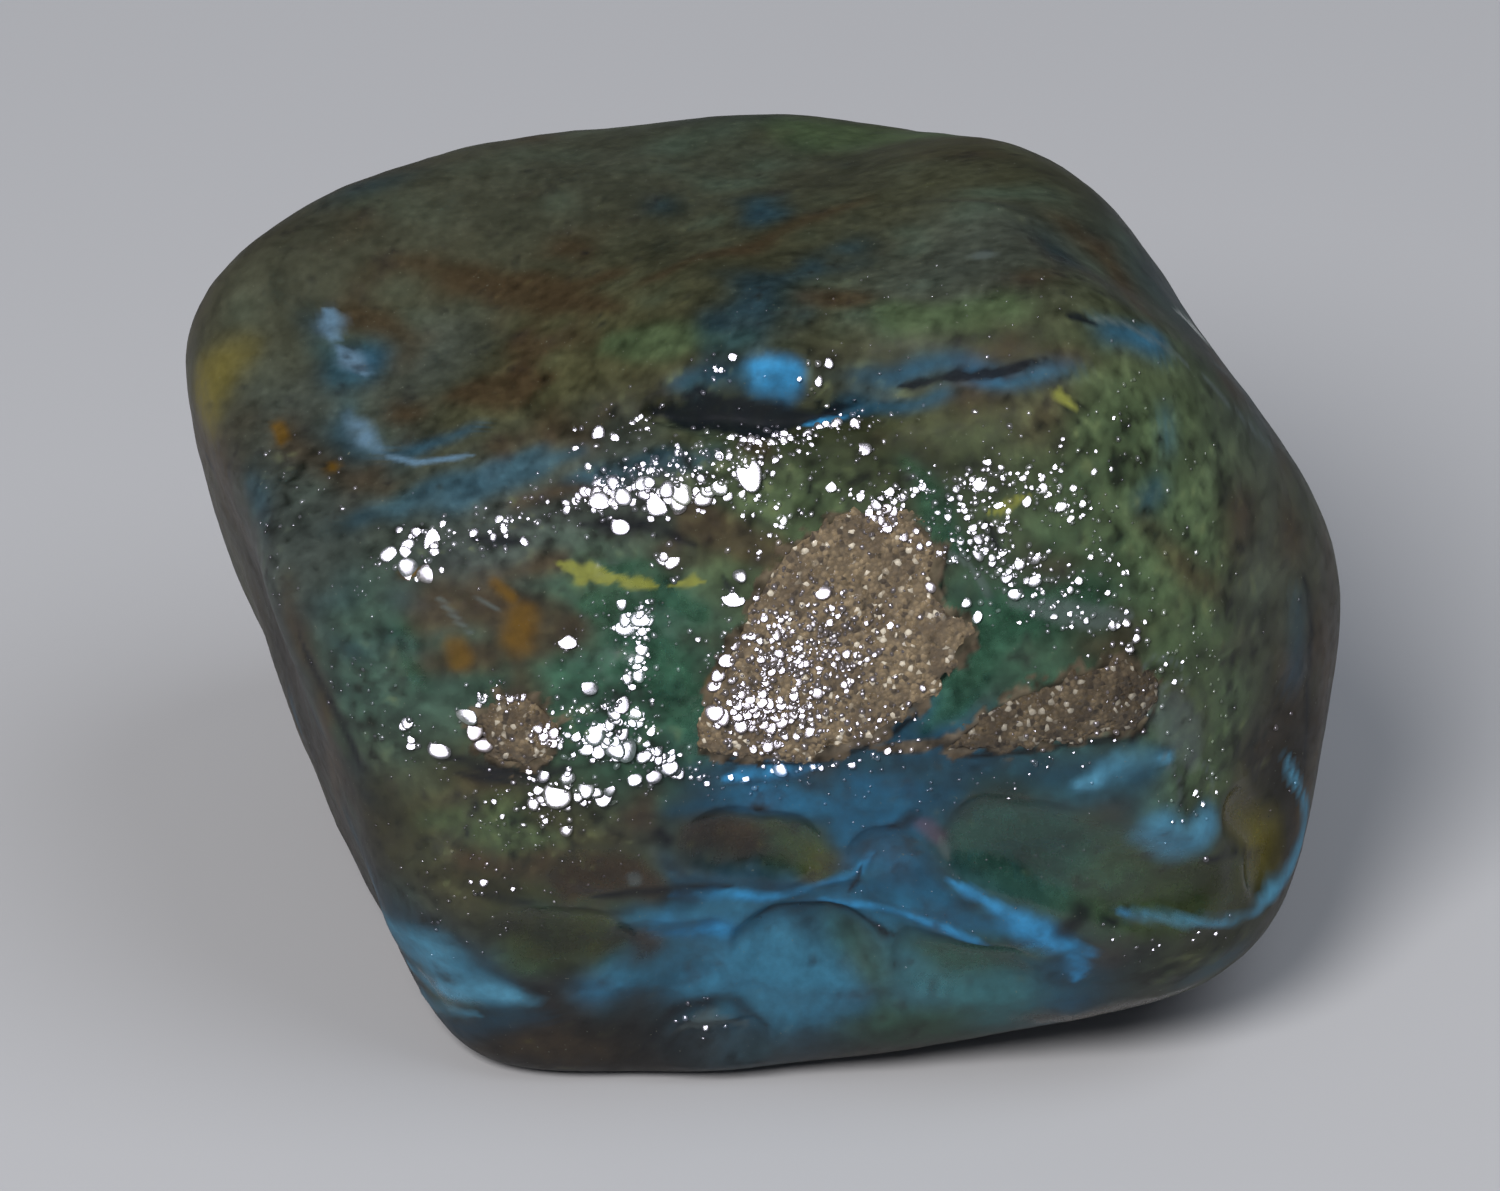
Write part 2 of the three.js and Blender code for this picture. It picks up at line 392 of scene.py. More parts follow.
BLUE = [
    (0.35, (171, 30), (176, 32), (-178, 33)),
    (0.6, (-176, 34), (-171, 33)),
    (0.3, (-168, 32), (-160, 31), (-155, 31)),
    (0.1, (-155, 31), (-147, 35), (-141, 39)),
    (0.4, (-109, 55), (-98, 56), (-84, 55)),
    (0.3, (-79, 50), (-66, 50), (-57, 47)),
    (0.3, (-72, 54), (-60, 52), (-46, 46), (-40, 44)),
    (0.28, (-36, 48), (-33, 43), (-30, 40)),
    (0.4, (-35, 45), (-29, 42)),
    (0.3, (-33, 36), (-34, 32)),
    (0.3, (-37, 29), (-38, 27)),
    (0.65, (-56, 2), (-50, 2), (-44, 3)),
    (1.8, (-110, -25), (-100, -26), (-89, -29), (-77, -32)),
    (1.9, (-76, -2), (-71, -10), (-69, -15)),
    (0.9, (-84, -13), (-74, -18), (-65, -17), (-57, -19)),
    (0.9, (-110, -18), (-95, -18), (-84, -20)),
    (1.4, (-107, -26), (-96, -24)),
    (0.6, (-87, -34), (-81, -34)),
    (0.8, (-101, -2), (-90, -1), (-79, -1), (-67, 0), (-55, 1)),
    (0.7, (-97, -15), (-82, -16)),
    (0.75, (-50, -26), (-53, -30)),
    (0.4, (-40, -24), (-37, -22)),
    (1.1, (-142, -26), (-133, -26), (-125, -27)),
    (0.45, (-141, -17), (-140, -25)),
    (0.26, (-138, -37), (-126, -32), (-116, -32)),
    (0.3, (-168, -9), (-170, -14)),
    (0.26, (-22, 10), (-24, 2)),
    (0.6, (60, 20), (80, 11), (102, 16)),
    (0.5, (128, 32), (150, 22)),
    (0.9, (18, -8), (40, -16), (58, -20)),
    (0.4, (110, -8), (140, -20)),
]

BRIGHT = [
    (0.4, (-89, 56), (-83, 55)),
    (0.12, (-80, 50), (-71, 50)),
    (0.16, (-104, -20), (-97, -22)),
    (0.26, (-94, 3), (-88, 4), (-82, 5)),
    (0.52, (-45.5, -5.5), (-43, -7.5), (-40, -6.5)),
    (0.42, (-53, 1), (-48, 3), (-44, 2)),
    (0.5, (-101, -20), (-95, -22)),
    (0.45, (-139, -31), (-131, -29), (-125, -27), (-119, -29)),
    (0.22, (-140, -36), (-131, -32), (-126, -31)),
    (0.65, (-138, -25), (-129, -24)),
    (0.2, (-66, -12), (-61, -15)),
    (0.5, (-61, -15), (-56, -18.5), (-51.5, -20)),
    (0.26, (-53, -20), (-51, -24)),
    (0.14, (-49, -15), (-42, -16), (-37, -17), (-31, -17)),
    (0.24, (-33, -17), (-26, -16), (-23, -13.5), (-24, -10)),
    (0.14, (-24, -10), (-26, -5)),
    (0.14, (-101, -15), (-94, -16), (-86, -18), (-78, -14), (-74, -10)),
    (0.14, (-86, -20), (-76, -19), (-68, -19), (-61, -21)),
    (0.26, (-165, 31), (-158, 31), (-154, 31)),
    (0.07, (-153, 31), (-146, 33), (-139, 37)),
    (0.3, (173, 33), (180, 33)),
    (0.28, (-178, 33), (-171, 35)),
    (0.22, (75, 13), (85, 11), (98, 15)),
    (0.22, (32, -14), (45, -18)),
]

HAZE = [
    (0.35, (-167, 19), (-156, 17)),
    (0.75, (177, 32), (-175, 34), (-168, 35)),
    (0.3, (-137, 33), (-133, 37), (-128, 41)),
    (0.5, (-147, 25), (-135, 33), (-122, 42)),
    (0.45, (-122, 37), (-110, 43), (-96, 46)),
]

STEEL = [
    (1.5, (-108, -26), (-98, -24), (-89, -27), (-77, -30)),
    (1.0, (-99, -31), (-88, -33), (-78, -33)),
    (1.1, (-68, -27), (-60, -27), (-56, -30)),
    (0.6, (-108, -17), (-96, -17), (-86, -19)),
    (0.8, (-136, -24), (-128, -24)),
]

TEAL = [
    (1.32, (-114, 25), (-107, 21), (-100, 13), (-99, 7)),
    (0.79, (-114, 29), (-98, 27)),
    (1.0, (-63, 16), (-57, 20), (-50, 20)),
    (0.42, (-68, 10), (-61, 13)),
    (0.5, (-134, 17), (-131, 12)),
    (0.58, (-66, 40), (-60, 31)),
    (0.53, (-6, 38), (2, 30)),
    (0.74, (-69, -28), (-61, -24), (-56, -20)),
    (0.68, (-115, -18), (-120, -23)),
    (1.4, (100, 25), (120, 10)),
    (1.1, (8, 18), (30, 12)),
]

BROWN = [
    (1.0, (-154, 40), (-146, 45), (-138, 50)),
    (0.7, (165, 40), (178, 52), (-165, 60), (-140, 64)),
    (0.8, (-100, 36), (-88, 34)),
    (0.47, (173, 35), (-179, 38), (-173, 41)),
    (0.37, (-163, 36), (-154, 37)),
    (0.68, (170, 50), (-174, 61), (-168, 70)),
    (0.32, (-151, 68), (-123, 81), (17, 83), (31, 73)),
    (0.53, (-72, 67), (-61, 63)),
    (0.47, (-171, 24), (-157, 27), (-146, 30)),
    (0.37, (-127, 34), (-116, 38)),
    (1.05, (-131, 21), (-124, 22), (-119, 19)),
    (0.5, (-130, 15), (-124, 16)),
    (0.37, (-132, 22), (-125, 24)),
    (0.5, (-106, 34), (-97, 35), (-89, 32), (-85, 28)),
    (0.3, (-129, 26), (-119, 29)),
    (0.4, (-126, 1), (-117, 1)),
    (0.47, (-149, 17), (-146, 11), (-143, 5), (-144, -2), (-153, -19)),
    (0.9, (-128, -36), (-119, -36), (-109, -38)),
    (0.42, (-39, 26), (-36, 20), (-33, 15)),
    (0.35, (-19, 8), (-19, -3), (-21, -11), (-26, -16)),
    (0.63, (2, 54), (-6, 48), (-22, 44)),
    (0.32, (-43, 47), (-38, 43)),
    (0.68, (-126, -10), (-116, -10), (-106, -10)),
    (1.2, (138, 22), (160, 8), (172, -5)),
    (0.9, (28, 32), (52, 24), (66, 34)),
    (0.8, (80, -8), (110, -14)),
]

# Clear places that the clouds leave open, seen as darker lenses.
BROWN_LENSES = [
    (0.85, (-96, -7), (-92, -8)),
    (0.7, (-112, -11), (-104, -12)),
    (0.6, (-107, -21), (-105, -23)),
    (0.4, (-56, -31), (-46, -29), (-38, -26)),
]

GREEN_LENSES = [
    (0.9, (-88, -9), (-83, -10)),
    (1.8, (-60, -5), (-54, -9), (-46, -12)),
    (1.1, (-42, -13), (-36, -14)),
    (0.7, (-68, -24), (-61, -24), (-56, -24)),
    (1.1, (-119, -20), (-111, -21)),
    (0.3, (-134, -29), (-126, -29)),
]

GOLD_LENSES = [
    (0.75, (-34, -8), (-31, -11), (-33, -14)),
]

BLUSH = [
    (0.24, (-69, -4), (-67, -6)),
]

YELLOW = [
    (0.6, (172, 21), (178, 19), (-179, 19)),
    (0.42, (173, 26), (177, 23)),
    (0.27, (-118.5, 29.5), (-112, 28.5)),
    (0.18, (-113, 29), (-105, 28.5)),
    (0.13, (-103, 28.5), (-98, 28)),
    (0.16, (-43, 43), (-43, 41)),
    (0.1, (-56, 33), (-52, 33)),
]

ORANGE = [
    (0.52, (-122, 21), (-122, 18)),
    (0.22, (-126, 24), (-124, 23)),
    (0.38, (-129, 16), (-128, 14)),
    (0.12, (-136, 22), (-135, 23)),
    (0.18, (-96, 18), (-97, 13)),
    (0.21, (-170, 25), (-167, 25)),
    (0.21, (-157, 27), (-156, 27)),
]

GREEN = [
    (0.6, (-115, 28), (-111, 26)),
    (0.3, (-109, 26), (-104, 27)),
    (0.3, (-87, 38), (-84, 36)),
    (0.74, (-133, 58), (-111, 62), (-94, 60)),
    (0.68, (-58, 58), (-45, 52)),
    (1.58, (-41, 35), (-37, 23), (-38, 13)),
    (0.95, (-130, -6), (-121, -5), (-114, -7)),
    (0.42, (-45, 5), (-39, 2)),
    (0.21, (-135, -32), (-125, -27)),
    (1.4, (55, 42), (80, 50)),
    (1.2, (118, 2), (134, -8)),
    (1.1, (45, 5), (58, -4)),
]

PALE = [
    (0.24, (-29, 60), (-28, 60)),
    (0.7, (-46, 9), (-42, 4), (-41, 0)),
    (0.07, (-47, 10), (-44, 13), (-41, 11)),
    (0.06, (-46, 7), (-43, 10), (-40, 9)),
    (0.07, (-40, 0), (-38, -3), (-40, -5)),
    (0.06, (-45, 3), (-43, -1), (-44, -4)),
    (0.11, (-23, 35), (-20, 30), (-15, 23)),
    (0.11, (-16, 34), (-3, 23), (-11, 20)),
    (0.2, (-67, -6), (-66, -9)),
    (0.09, (-131, 21), (-127, 18)),
    (0.06, (-62, 31), (-59, 27), (-58, 23)),
    (0.34, (-56, 22.5), (-50, 20), (-45, 18)),
    (0.08, (-128, 22), (-125, 21)),
    (0.16, (-105, -11), (-105, -12)),
    (0.11, (-36, 47), (-28, 41), (-25, 37)),
    (0.25, (-101, -37), (-96, -35), (-91, -37)),
    (0.14, (96, 42), (112, 34), (126, 36)),
    (0.12, (40, 20), (52, 10)),
]

# Cracks and creases, painted dark as the shade in them, and bands of painted shade under the ridge
# and below the small crust.
DARK = [
    (0.3, (-127, 3), (-120, 2), (-113, 4)),
    (0.26, (-118, 34), (-108, 36), (-100, 34)),
    (0.2, (-131, 28), (-124, 30)),
    (0.18, (-95, 30), (-93, 27)),
    (0.2, (-110, -14), (-102, -14), (-93, -15)),
    (0.4, (-101, -15), (-99, -15.5)),
    (0.24, (-102, -5), (-101, -6)),
    (0.18, (-78, -21), (-77, -21)),
    (0.21, (-72, -5), (-70, -3)),
    (0.26, (-54, -18), (-52, -15)),
    (0.14, (-50, -16), (-49, -16)),
    (0.22, (-124, -14), (-118, -15)),
    (0.12, (-77, -17), (-76, -12)),
    (0.24, (-126, 1), (-120, 1)),
    (0.2, (-106, -38), (-101, -34), (-94, -33), (-88, -36)),
    (0.28, (-100, -15), (-98, -16)),
    (0.13, (-19, 12), (-22, -1), (-23, -9)),
    (0.16, (-90, -22), (-83, -20), (-77, -21), (-71, -23)),
    (0.13, (-40, -10), (-36, -11), (-32, -13)),
    (0.2, (-146, 11), (-143, 7), (-140, 3), (-138, -2)),
    (0.11, (-56, 28), (-57, 33)),
    (0.14, (-139, -14), (-139, -18)),
    (0.18, (88, 30), (100, 24), (112, 26)),
    (0.2, (48, 2), (62, -6), (74, -6)),
    (0.16, (150, 10), (156, -6)),
]

# The fold under the knob and where it runs out to the sides, painted near black as the shade in
# it.
FOLD = [
    (0.42, (-113, 52), (-101, 51.5), (-88, 51.5), (-78, 51)),
    (0.3, (-107, 54), (-99, 54)),
    (0.18, (-76, 51), (-68, 51.5)),
    (0.09, (-60, 51), (-50, 48), (-43, 46)),
    (0.14, (-38, 49), (-35, 46)),
]

# The knob over the fold.
KNOB = (0.55, (-87, 55.5), (-85, 55.5))

# Shallow hollows: depth, then half width and middle line.
HOLLOWS = [
    (0.38, (1.1, (-94, -7), (-86, -9))),
    (0.42, (1.5, (-60, -6), (-52, -9), (-45, -12))),
    (0.3, (0.9, (-34, -8), (-31, -11), (-32, -14))),
    (0.42, (1.1, (-88, -25), (-79, -25))),
    (0.32, (1.0, (-67, -25), (-59, -25))),
    (0.4, (0.7, (-99, -38), (-91, -38))),
    (0.34, (1.1, (-119, -20), (-111, -21))),
    (0.34, (1.3, (-104, -24), (-98, -25))),
    (0.28, (0.9, (-73, -9), (-70, -13))),
    (0.3, (1.6, (78, 15), (95, 10))),
    (0.25, (1.4, (128, 2), (135, -4))),
    (0.3, (1.5, (25, 5), (35, 2))),
    (0.3, (0.9, (-112, 51.5), (-98, 51), (-80, 51), (-68, 50.5))),
    (0.07, (0.3, (-66, 51), (-52, 48), (-42, 45))),
]

SAND = [
    (0.21, (-75, 7), (-70, 7), (-66, 7)),
]

# Where the skin is covered in small round beads that catch the light.
BEADS = [
    (0.9, (-136, 22), (-131, 26), (-125, 30)),
    (0.8, (-122, 33), (-113, 40), (-103, 43), (-92, 43), (-83, 42)),
    (0.6, (-110, 36), (-98, 38), (-88, 38), (-78, 36)),
    (0.5, (-83, 33), (-76, 34), (-68, 30), (-64, 24), (-62, 17)),
    (0.5, (-92, 33), (-93, 26), (-95, 17), (-96, 9), (-93, 6)),
    (0.6, (-116, 15), (-107, 15), (-107, 8), (-109, 3)),
    (0.8, (-115, 3), (-106, 2), (-98, -1), (-94, 1)),
    (0.7, (-124, -3), (-114, -4), (-105, -4)),
    (0.4, (-128, 5), (-126, 9), (-121, 10), (-115, 7)),
    (0.5, (-138, 4), (-133, 2)),
    (0.3, (-92, 2), (-84, 5), (-75, 8)),
    (1.1, (-60, 37), (-54, 32), (-50, 26), (-45, 22)),
    (0.8, (-55, 24), (-50, 20), (-44, 26)),
    (0.6, (-104, 57), (-94, 60), (-82, 58), (-68, 57)),
    (0.5, (-80, 49), (-66, 47), (-55, 42)),
    (0.5, (-44, 16), (-42, 11), (-40, 6)),
]

# Where the skin is finely pebbled.
PEBBLES = [
    (1.2, (-136, 27), (-120, 34), (-105, 41), (-85, 42), (-68, 38)),
    (1.0, (-112, 8), (-104, 6)),
    (0.8, (-120, 50), (-100, 55), (-80, 54), (-60, 50)),
    (2.6, (-45, 42), (-35, 25), (-33, 5)),
    (1.0, (-33, 0), (-30, -3)),
    (1.1, (-46, 10), (-42, 3), (-40, -3)),
    (1.2, (-125, -4), (-115, -6), (-106, -7)),
    (1.1, (-162, 24), (-153, 16)),
    (0.9, (-128, -10), (-130, -18)),
    (1.0, (-137, 12), (-135, 2)),
    (0.8, (-44, -22), (-38, -20)),
    (4.0, (20, 30), (60, 15), (100, 20), (140, 15)),
]


def wandering(wobble, seed, size=1.6, octaves=3):
    """The surface's directions, each moved by up to about this many millimetres."""
    points = surface.points()
    shift = np.stack(
        [rough_noise(points, size, seed + 10 * axis, octaves) for axis in range(3)], -1
    )
    return unit(surface.directions + shift * wobble / surface.reach[:, None])


def marked(marks, directions, inner=0.35, outer=1.35):
    """How much each of these directions lies in the marks, from 0 to 1."""
    result = np.zeros(len(directions))
    for mark in marks:
        share = smoothstep(surface.closeness(mark, directions), outer, inner)
        np.maximum(result, share, out=result)
    return result


# --- Relief ---

SEAT_FILL_STEPS = 6
SMOOTHING_STEPS = 24

# The crusts throw a narrow shadow to their lower right.
SHADOW_SHIFT = 0.016 * np.array([0.6, 0, -0.8])

# The height, lump size and octaves of each kind of wave, and the size and height of each bead.
WAVES = [(0.1, 3.2, 3), (0.045, 1.1, 4)]
BEAD_KINDS = [(1.1, 0.05), (0.62, 0.05), (0.33, 0.025)]
STRAY_BEADS = 0.06  # how much of the beads' height there is outside their marks
PEBBLE_HEIGHT = 0.06
CREASE_DEPTH = 0.09
VEIN_HEIGHT = 0.04
SEAT_DEPTH = 0.3

# A hollow's rim: its height as a share of the depth, and its place and width in half widths.
RIM_HEIGHT, RIM_PLACE, RIM_WIDTH = 0.12, 1.1, 0.25


def fill_seats():
    """Fills the gaps round the crust nodes, then rounds off the CAD facets."""
    filled = surface.closed(surface.reach, SEAT_FILL_STEPS)
    surface.reach = np.where(crust_depth > -1, filled, surface.reach)
    surface.reach = surface.averaged(surface.reach, SMOOTHING_STEPS)


crust_depth = crust_depth_at(surface.directions)
fill_seats()
bare_points = surface.points()
bare_tree = BVHTree.FromPolygons(bare_points.tolist(), surface.quads.tolist())

wide = wandering(0.7, 101)
loose = wandering(0.4, 141)
close = wandering(0.2, 181)
masks = {
    "blue": marked(BLUE, wide, 0.1, 1.5),
    "bright": marked(BRIGHT, close, 0.1, 1.7),
    "haze": marked(HAZE, wide),
    "steel": marked(STEEL, wide, 0.2, 1.4),
    "teal": marked(TEAL, wide),
    "brown": marked(BROWN, wide),
    "yellow": marked(YELLOW, loose, 0, 1.8),
    "orange": marked(ORANGE, loose, 0, 1.6),
    "blush": marked(BLUSH, close, 0, 1.7),
    "green": marked(GREEN, wide),
    "brown_lens": marked(BROWN_LENSES, wide, 0.4, 1.45),
    "green_lens": marked(GREEN_LENSES, wide, 0.4, 1.45),
    "gold_lens": marked(GOLD_LENSES, loose),
    "pale": marked(PALE, close, 0, 1.7),
    "dark": marked(DARK, close, 0, 1.6),
    "fold": marked(FOLD, close, 0.1, 1.9),
    "sand": marked(SAND, close),
    "beads": marked(BEADS, wide, 0.2, 1.4),
    "pebbles": marked(PEBBLES, wide, 0.2, 1.3),
}
knob = np.exp(-(surface.closeness(KNOB, close) ** 4))
shifted_depth = crust_depth_at(unit(surface.directions - SHADOW_SHIFT))
crust_shadow = smoothstep(shifted_depth, -0.04, 0.08) * smoothstep(crust_depth, 0.04, -0.04)


def domes(points, size, seed):
    """Low round domes of different heights packed in a scatter of this size, from 0 to 1."""
    apart, number = nearest_seed(points, size, seed)
    return np.clip(1 - (apart / (0.75 * size)) ** 2, 0, 1) * (0.4 + 0.6 * number)


def hollowed():
    """The shallow hollows, each with a slightly raised rim."""
    relief = np.zeros(len(close))
    for depth, mark in HOLLOWS:
        share = surface.closeness(mark, close)
        bowl = -depth * np.clip(1 - share**2, 0, 1)
        rim = RIM_HEIGHT * depth * np.exp(-(((share - RIM_PLACE) / RIM_WIDTH) ** 2))
        relief += bowl + rim
    return relief


def add_relief():
    points = bare_points
    away_from_base = smoothstep(points[:, 2], 0.2, 1.2)
    waves = sum(
        height * rough_noise(points, size, 201 + n, octaves)
        for n, (height, size, octaves) in enumerate(WAVES)
    )
    beads = sum(
        height * domes(points, size, 210 + n) for n, (size, height) in enumerate(BEAD_KINDS)
    )
    relief = waves + beads * (STRAY_BEADS + (1 - STRAY_BEADS) * masks["beads"])
    relief += PEBBLE_HEIGHT * rough_noise(points, 0.45, 206, 3) * masks["pebbles"]
    relief += hollowed()
    creased = surface.averaged(masks["dark"], 2)
    relief -= CREASE_DEPTH * creased * (0.7 + 0.5 * rough_noise(points, 0.7, 205, 2))
    relief += VEIN_HEIGHT * masks["bright"]
    seat = smoothstep(crust_depth, 0.1, 0.35)
    relief = relief * (1 - seat) - SEAT_DEPTH * seat
    surface.reach = surface.reach + relief * away_from_base


add_relief()

# --- Drops on the skin ---

CAMERA_ELEVATION = 30
CAMERA_DISTANCE = 260
LIGHT_SIDE = (-110, 40)
LIGHT_DISTANCE = 450
EYE = HEART + CAMERA_DISTANCE * towards(-90, CAMERA_ELEVATION)
LAMP = HEART + LIGHT_DISTANCE * towards(*LIGHT_SIDE)

DROP_SPACING = 0.42  # the least distance between drops, as a share of their half widths together

# Wide drops in runs of many are crowded: each has satellites and shrinks to make room for them.
CROWD_HALF = 0.12
CROWD_COUNT = 5
SATELLITES = 4
SATELLITE_STRAY = 0.75
SATELLITE_SIZES = (0.2, 0.5)
SHRINKAGE = 0.85

# How much of a run's range of sizes is used, and how much the small ones are favoured.
SIZE_RANGE = 0.9
SMALL_FAVOURED = 1.7

DROP_SHADE = 0.22  # how far round a drop the skin is darker, in millimetres

# Runs of drops: how many, the smallest and largest half width, how far they stray, the line.
DROPS = [
    # along the ridge
    (10, 0.16, 0.4, 0.22, (-138, 26), (-135, 25)),
    (1, 0.22, 0.22, 0.05, (-139, 23)),
    (4, 0.07, 0.18, 0.2, (-130, 29), (-126, 30)),
    (12, 0.05, 0.13, 0.16, (-133, 28), (-121, 35)),
    (12, 0.05, 0.14, 0.14, (-96, 44), (-80, 46)),
    (22, 0.1, 0.28, 0.18, (-121, 37), (-110, 40)),
    (1, 0.26, 0.26, 0.05, (-112, 35)),
    (9, 0.16, 0.42, 0.18, (-108, 39), (-102, 40)),
    (6, 0.14, 0.3, 0.16, (-99, 41)),
    (4, 0.16, 0.36, 0.12, (-91, 43)),
    (26, 0.05, 0.14, 0.14, (-112, 42), (-90, 45)),
    (12, 0.06, 0.14, 0.25, (-90, 41), (-88, 35)),
    (1, 0.14, 0.14, 0.05, (-77, 41)),
    # on the lip of the fold
    (9, 0.08, 0.18, 0.1, (-94, 48), (-82, 48)),
    (8, 0.1, 0.2, 0.07, (-80, 48), (-66, 49)),
    (1, 0.18, 0.18, 0.05, (-71, 45)),
    (4, 0.06, 0.14, 0.15, (-104, 46)),
    (4, 0.07, 0.2, 0.2, (-123, 43), (-119, 47)),
    (5, 0.05, 0.12, 0.15, (-117, 50), (-112, 50)),
    (5, 0.06, 0.13, 0.12, (-101, 56), (-94, 58)),
    (4, 0.08, 0.14, 0.1, (-80, 54), (-74, 56)),
    # down the middle of the front
    (3, 0.1, 0.26, 0.12, (-104, 32)),
    (3, 0.19, 0.24, 0.03, (-92, 32), (-94, 25)),
    (4, 0.17, 0.24, 0.1, (-94, 20), (-95, 16)),
    (5, 0.2, 0.27, 0.14, (-95, 12), (-92, 10)),
    (9, 0.16, 0.42, 0.18, (-108, 24), (-106, 22)),
    (5, 0.08, 0.16, 0.1, (-111, 25), (-104, 25)),
    (9, 0.14, 0.28, 0.07, (-106, 20), (-107, 15)),
    (1, 0.2, 0.2, 0.02, (-116, 19)),
    (1, 0.22, 0.22, 0.02, (-112, 14)),
    # round the small crust and below it
    (3, 0.18, 0.25, 0.08, (-126, 9), (-123, 6)),
    (7, 0.09, 0.17, 0.06, (-125, 11), (-119, 12)),
    (8, 0.12, 0.2, 0.16, (-117, 9), (-114, 7)),
    (11, 0.05, 0.1, 0.05, (-116, 11), (-108, 12)),
    (1, 0.22, 0.22, 0.02, (-108, 12)),
    (18, 0.1, 0.3, 0.22, (-110, 9), (-105, 10)),
    (30, 0.1, 0.4, 0.16, (-111, 7), (-106, 7), (-101, 4)),
    (5, 0.08, 0.16, 0.06, (-102, 4), (-97, 2)),
    (4, 0.14, 0.24, 0.08, (-106, 3), (-103, 3)),
    (12, 0.14, 0.5, 0.2, (-116, 0), (-111, 1)),
    (5, 0.15, 0.32, 0.14, (-110, 1), (-108, 0)),
    (1, 0.18, 0.18, 0.02, (-113, -4)),
    (1, 0.25, 0.25, 0.02, (-128, 4)),
    (5, 0.06, 0.18, 0.2, (-131, 5)),
    (9, 0.05, 0.1, 0.25, (-122, -2), (-116, 0)),
    # below and on the crusts
    (14, 0.05, 0.13, 0.06, (-97, 2), (-87, 4), (-78, 5), (-68, 8)),
    (2, 0.16, 0.2, 0.06, (-87, 4)),
    (70, 0.07, 0.22, 0.36, (-93, 11), (-83, 12)),
    (22, 0.07, 0.2, 0.3, (-88, 24), (-87, 16)),
    (90, 0.04, 0.12, 0.8, (-90, 20), (-76, 15)),
    (16, 0.09, 0.2, 0.16, (-70, 39), (-69, 35), (-62, 31)),
    (8, 0.1, 0.2, 0.15, (-72, 39), (-63, 39)),
    (3, 0.14, 0.17, 0.04, (-66, 27), (-61, 24), (-60, 21)),
    (1, 0.2, 0.2, 0.02, (-80, 28)),
    (8, 0.04, 0.1, 0.1, (-79, 9), (-68, 11)),
    (14, 0.03, 0.06, 0.5, (-60, 5), (-46, 9)),
    # the right cluster
    (1, 0.22, 0.22, 0.02, (-56, 37)),
    (5, 0.1, 0.2, 0.14, (-51, 34), (-47, 30)),
    (12, 0.06, 0.14, 0.3, (-60, 37), (-58, 31)),
    (12, 0.08, 0.2, 0.2, (-58, 31), (-55, 28)),
    (7, 0.12, 0.32, 0.13, (-55, 27), (-54, 24)),
    (22, 0.05, 0.14, 0.4, (-54, 23), (-48, 19)),
    (5, 0.07, 0.14, 0.12, (-46, 15), (-45, 18)),
    (3, 0.07, 0.14, 0.1, (-43, 10), (-40, 12)),
    (30, 0.05, 0.13, 0.5, (-58, 38), (-42, 34)),
    # the lower front
    (3, 0.06, 0.13, 0.1, (-126, -12), (-119, -14)),
    (7, 0.05, 0.1, 0.1, (-98, -36)),
    (7, 0.05, 0.1, 0.2, (-43, -3), (-38, -4)),
    (8, 0.04, 0.08, 0.12, (-50, -18), (-40, -18), (-28, -14)),
    (4, 0.06, 0.1, 0.06, (-25, -9), (-24, -5)),
    # rows of small glints right of the middle crust
    (14, 0.05, 0.12, 0.05, (-58, 31), (-57, 28), (-55.5, 25.5)),
    (8, 0.06, 0.13, 0.05, (-57, 39), (-59, 36), (-58, 32)),
    (16, 0.05, 0.13, 0.07, (-55, 39), (-50, 34), (-46, 29)),
    (10, 0.05, 0.11, 0.1, (-52, 27), (-46, 25), (-45, 21)),
    (45, 0.04, 0.11, 0.55, (-85, 24), (-75, 20)),
]

# Fine spatter, in the same form.
SPATTER = [
    (120, 0.03, 0.07, 1.5, (-50, 42), (-40, 27), (-38, 8)),
    (50, 0.03, 0.06, 0.6, (-140, 24), (-139, 10), (-132, 3)),
    (45, 0.03, 0.07, 0.7, (-160, 24), (-152, 15)),
    (60, 0.025, 0.06, 1.0, (-124, -6), (-128, -18)),
    (50, 0.03, 0.06, 0.7, (-38, 14), (-38, 0)),
    (60, 0.03, 0.06, 0.8, (-112, 22), (-110, 10)),
    (60, 0.025, 0.05, 0.7, (-127, -3), (-108, -6)),
    (60, 0.03, 0.08, 0.3, (-120, 48), (-100, 49), (-82, 48), (-62, 47)),
    (130, 0.03, 0.08, 0.5, (-128, 33), (-105, 41), (-85, 42), (-64, 38)),
    (30, 0.025, 0.05, 1.3, (-75, 60), (-45, 56)),
    (50, 0.025, 0.05, 0.5, (-100, 3), (-80, 1), (-60, 2)),
    (120, 0.03, 0.06, 0.9, (-88, 14), (-74, 27)),
    (60, 0.02, 0.045, 1.2, (-80, -12), (-50, -12)),
]


def shining(place):
    """The way a face at this place has to look to mirror the lamp to the eye."""
    return unit(unit(EYE - place) + unit(LAMP - place))


def scattered(count, stray, stops, random):
    """Directions spaced unevenly along a line and straying to its sides."""
    path = smooth_path(stops, 12) if len(stops) > 1 else towards(*stops[0])[None]
    places = (np.arange(count) + random.uniform(0, 1, count)) / count
    line = path[(places * (len(path) - 1)).round().astype(int)]
    return unit(line + random.normal(0, stray / USUAL_REACH, (count, 3)))


class Drop:
    """A drop on the skin: its direction, half its width, and whether small ones crowd it."""

    def __init__(self, direction, half, crowded=False):
        self.direction = direction
        self.half = half
        self.crowded = crowded


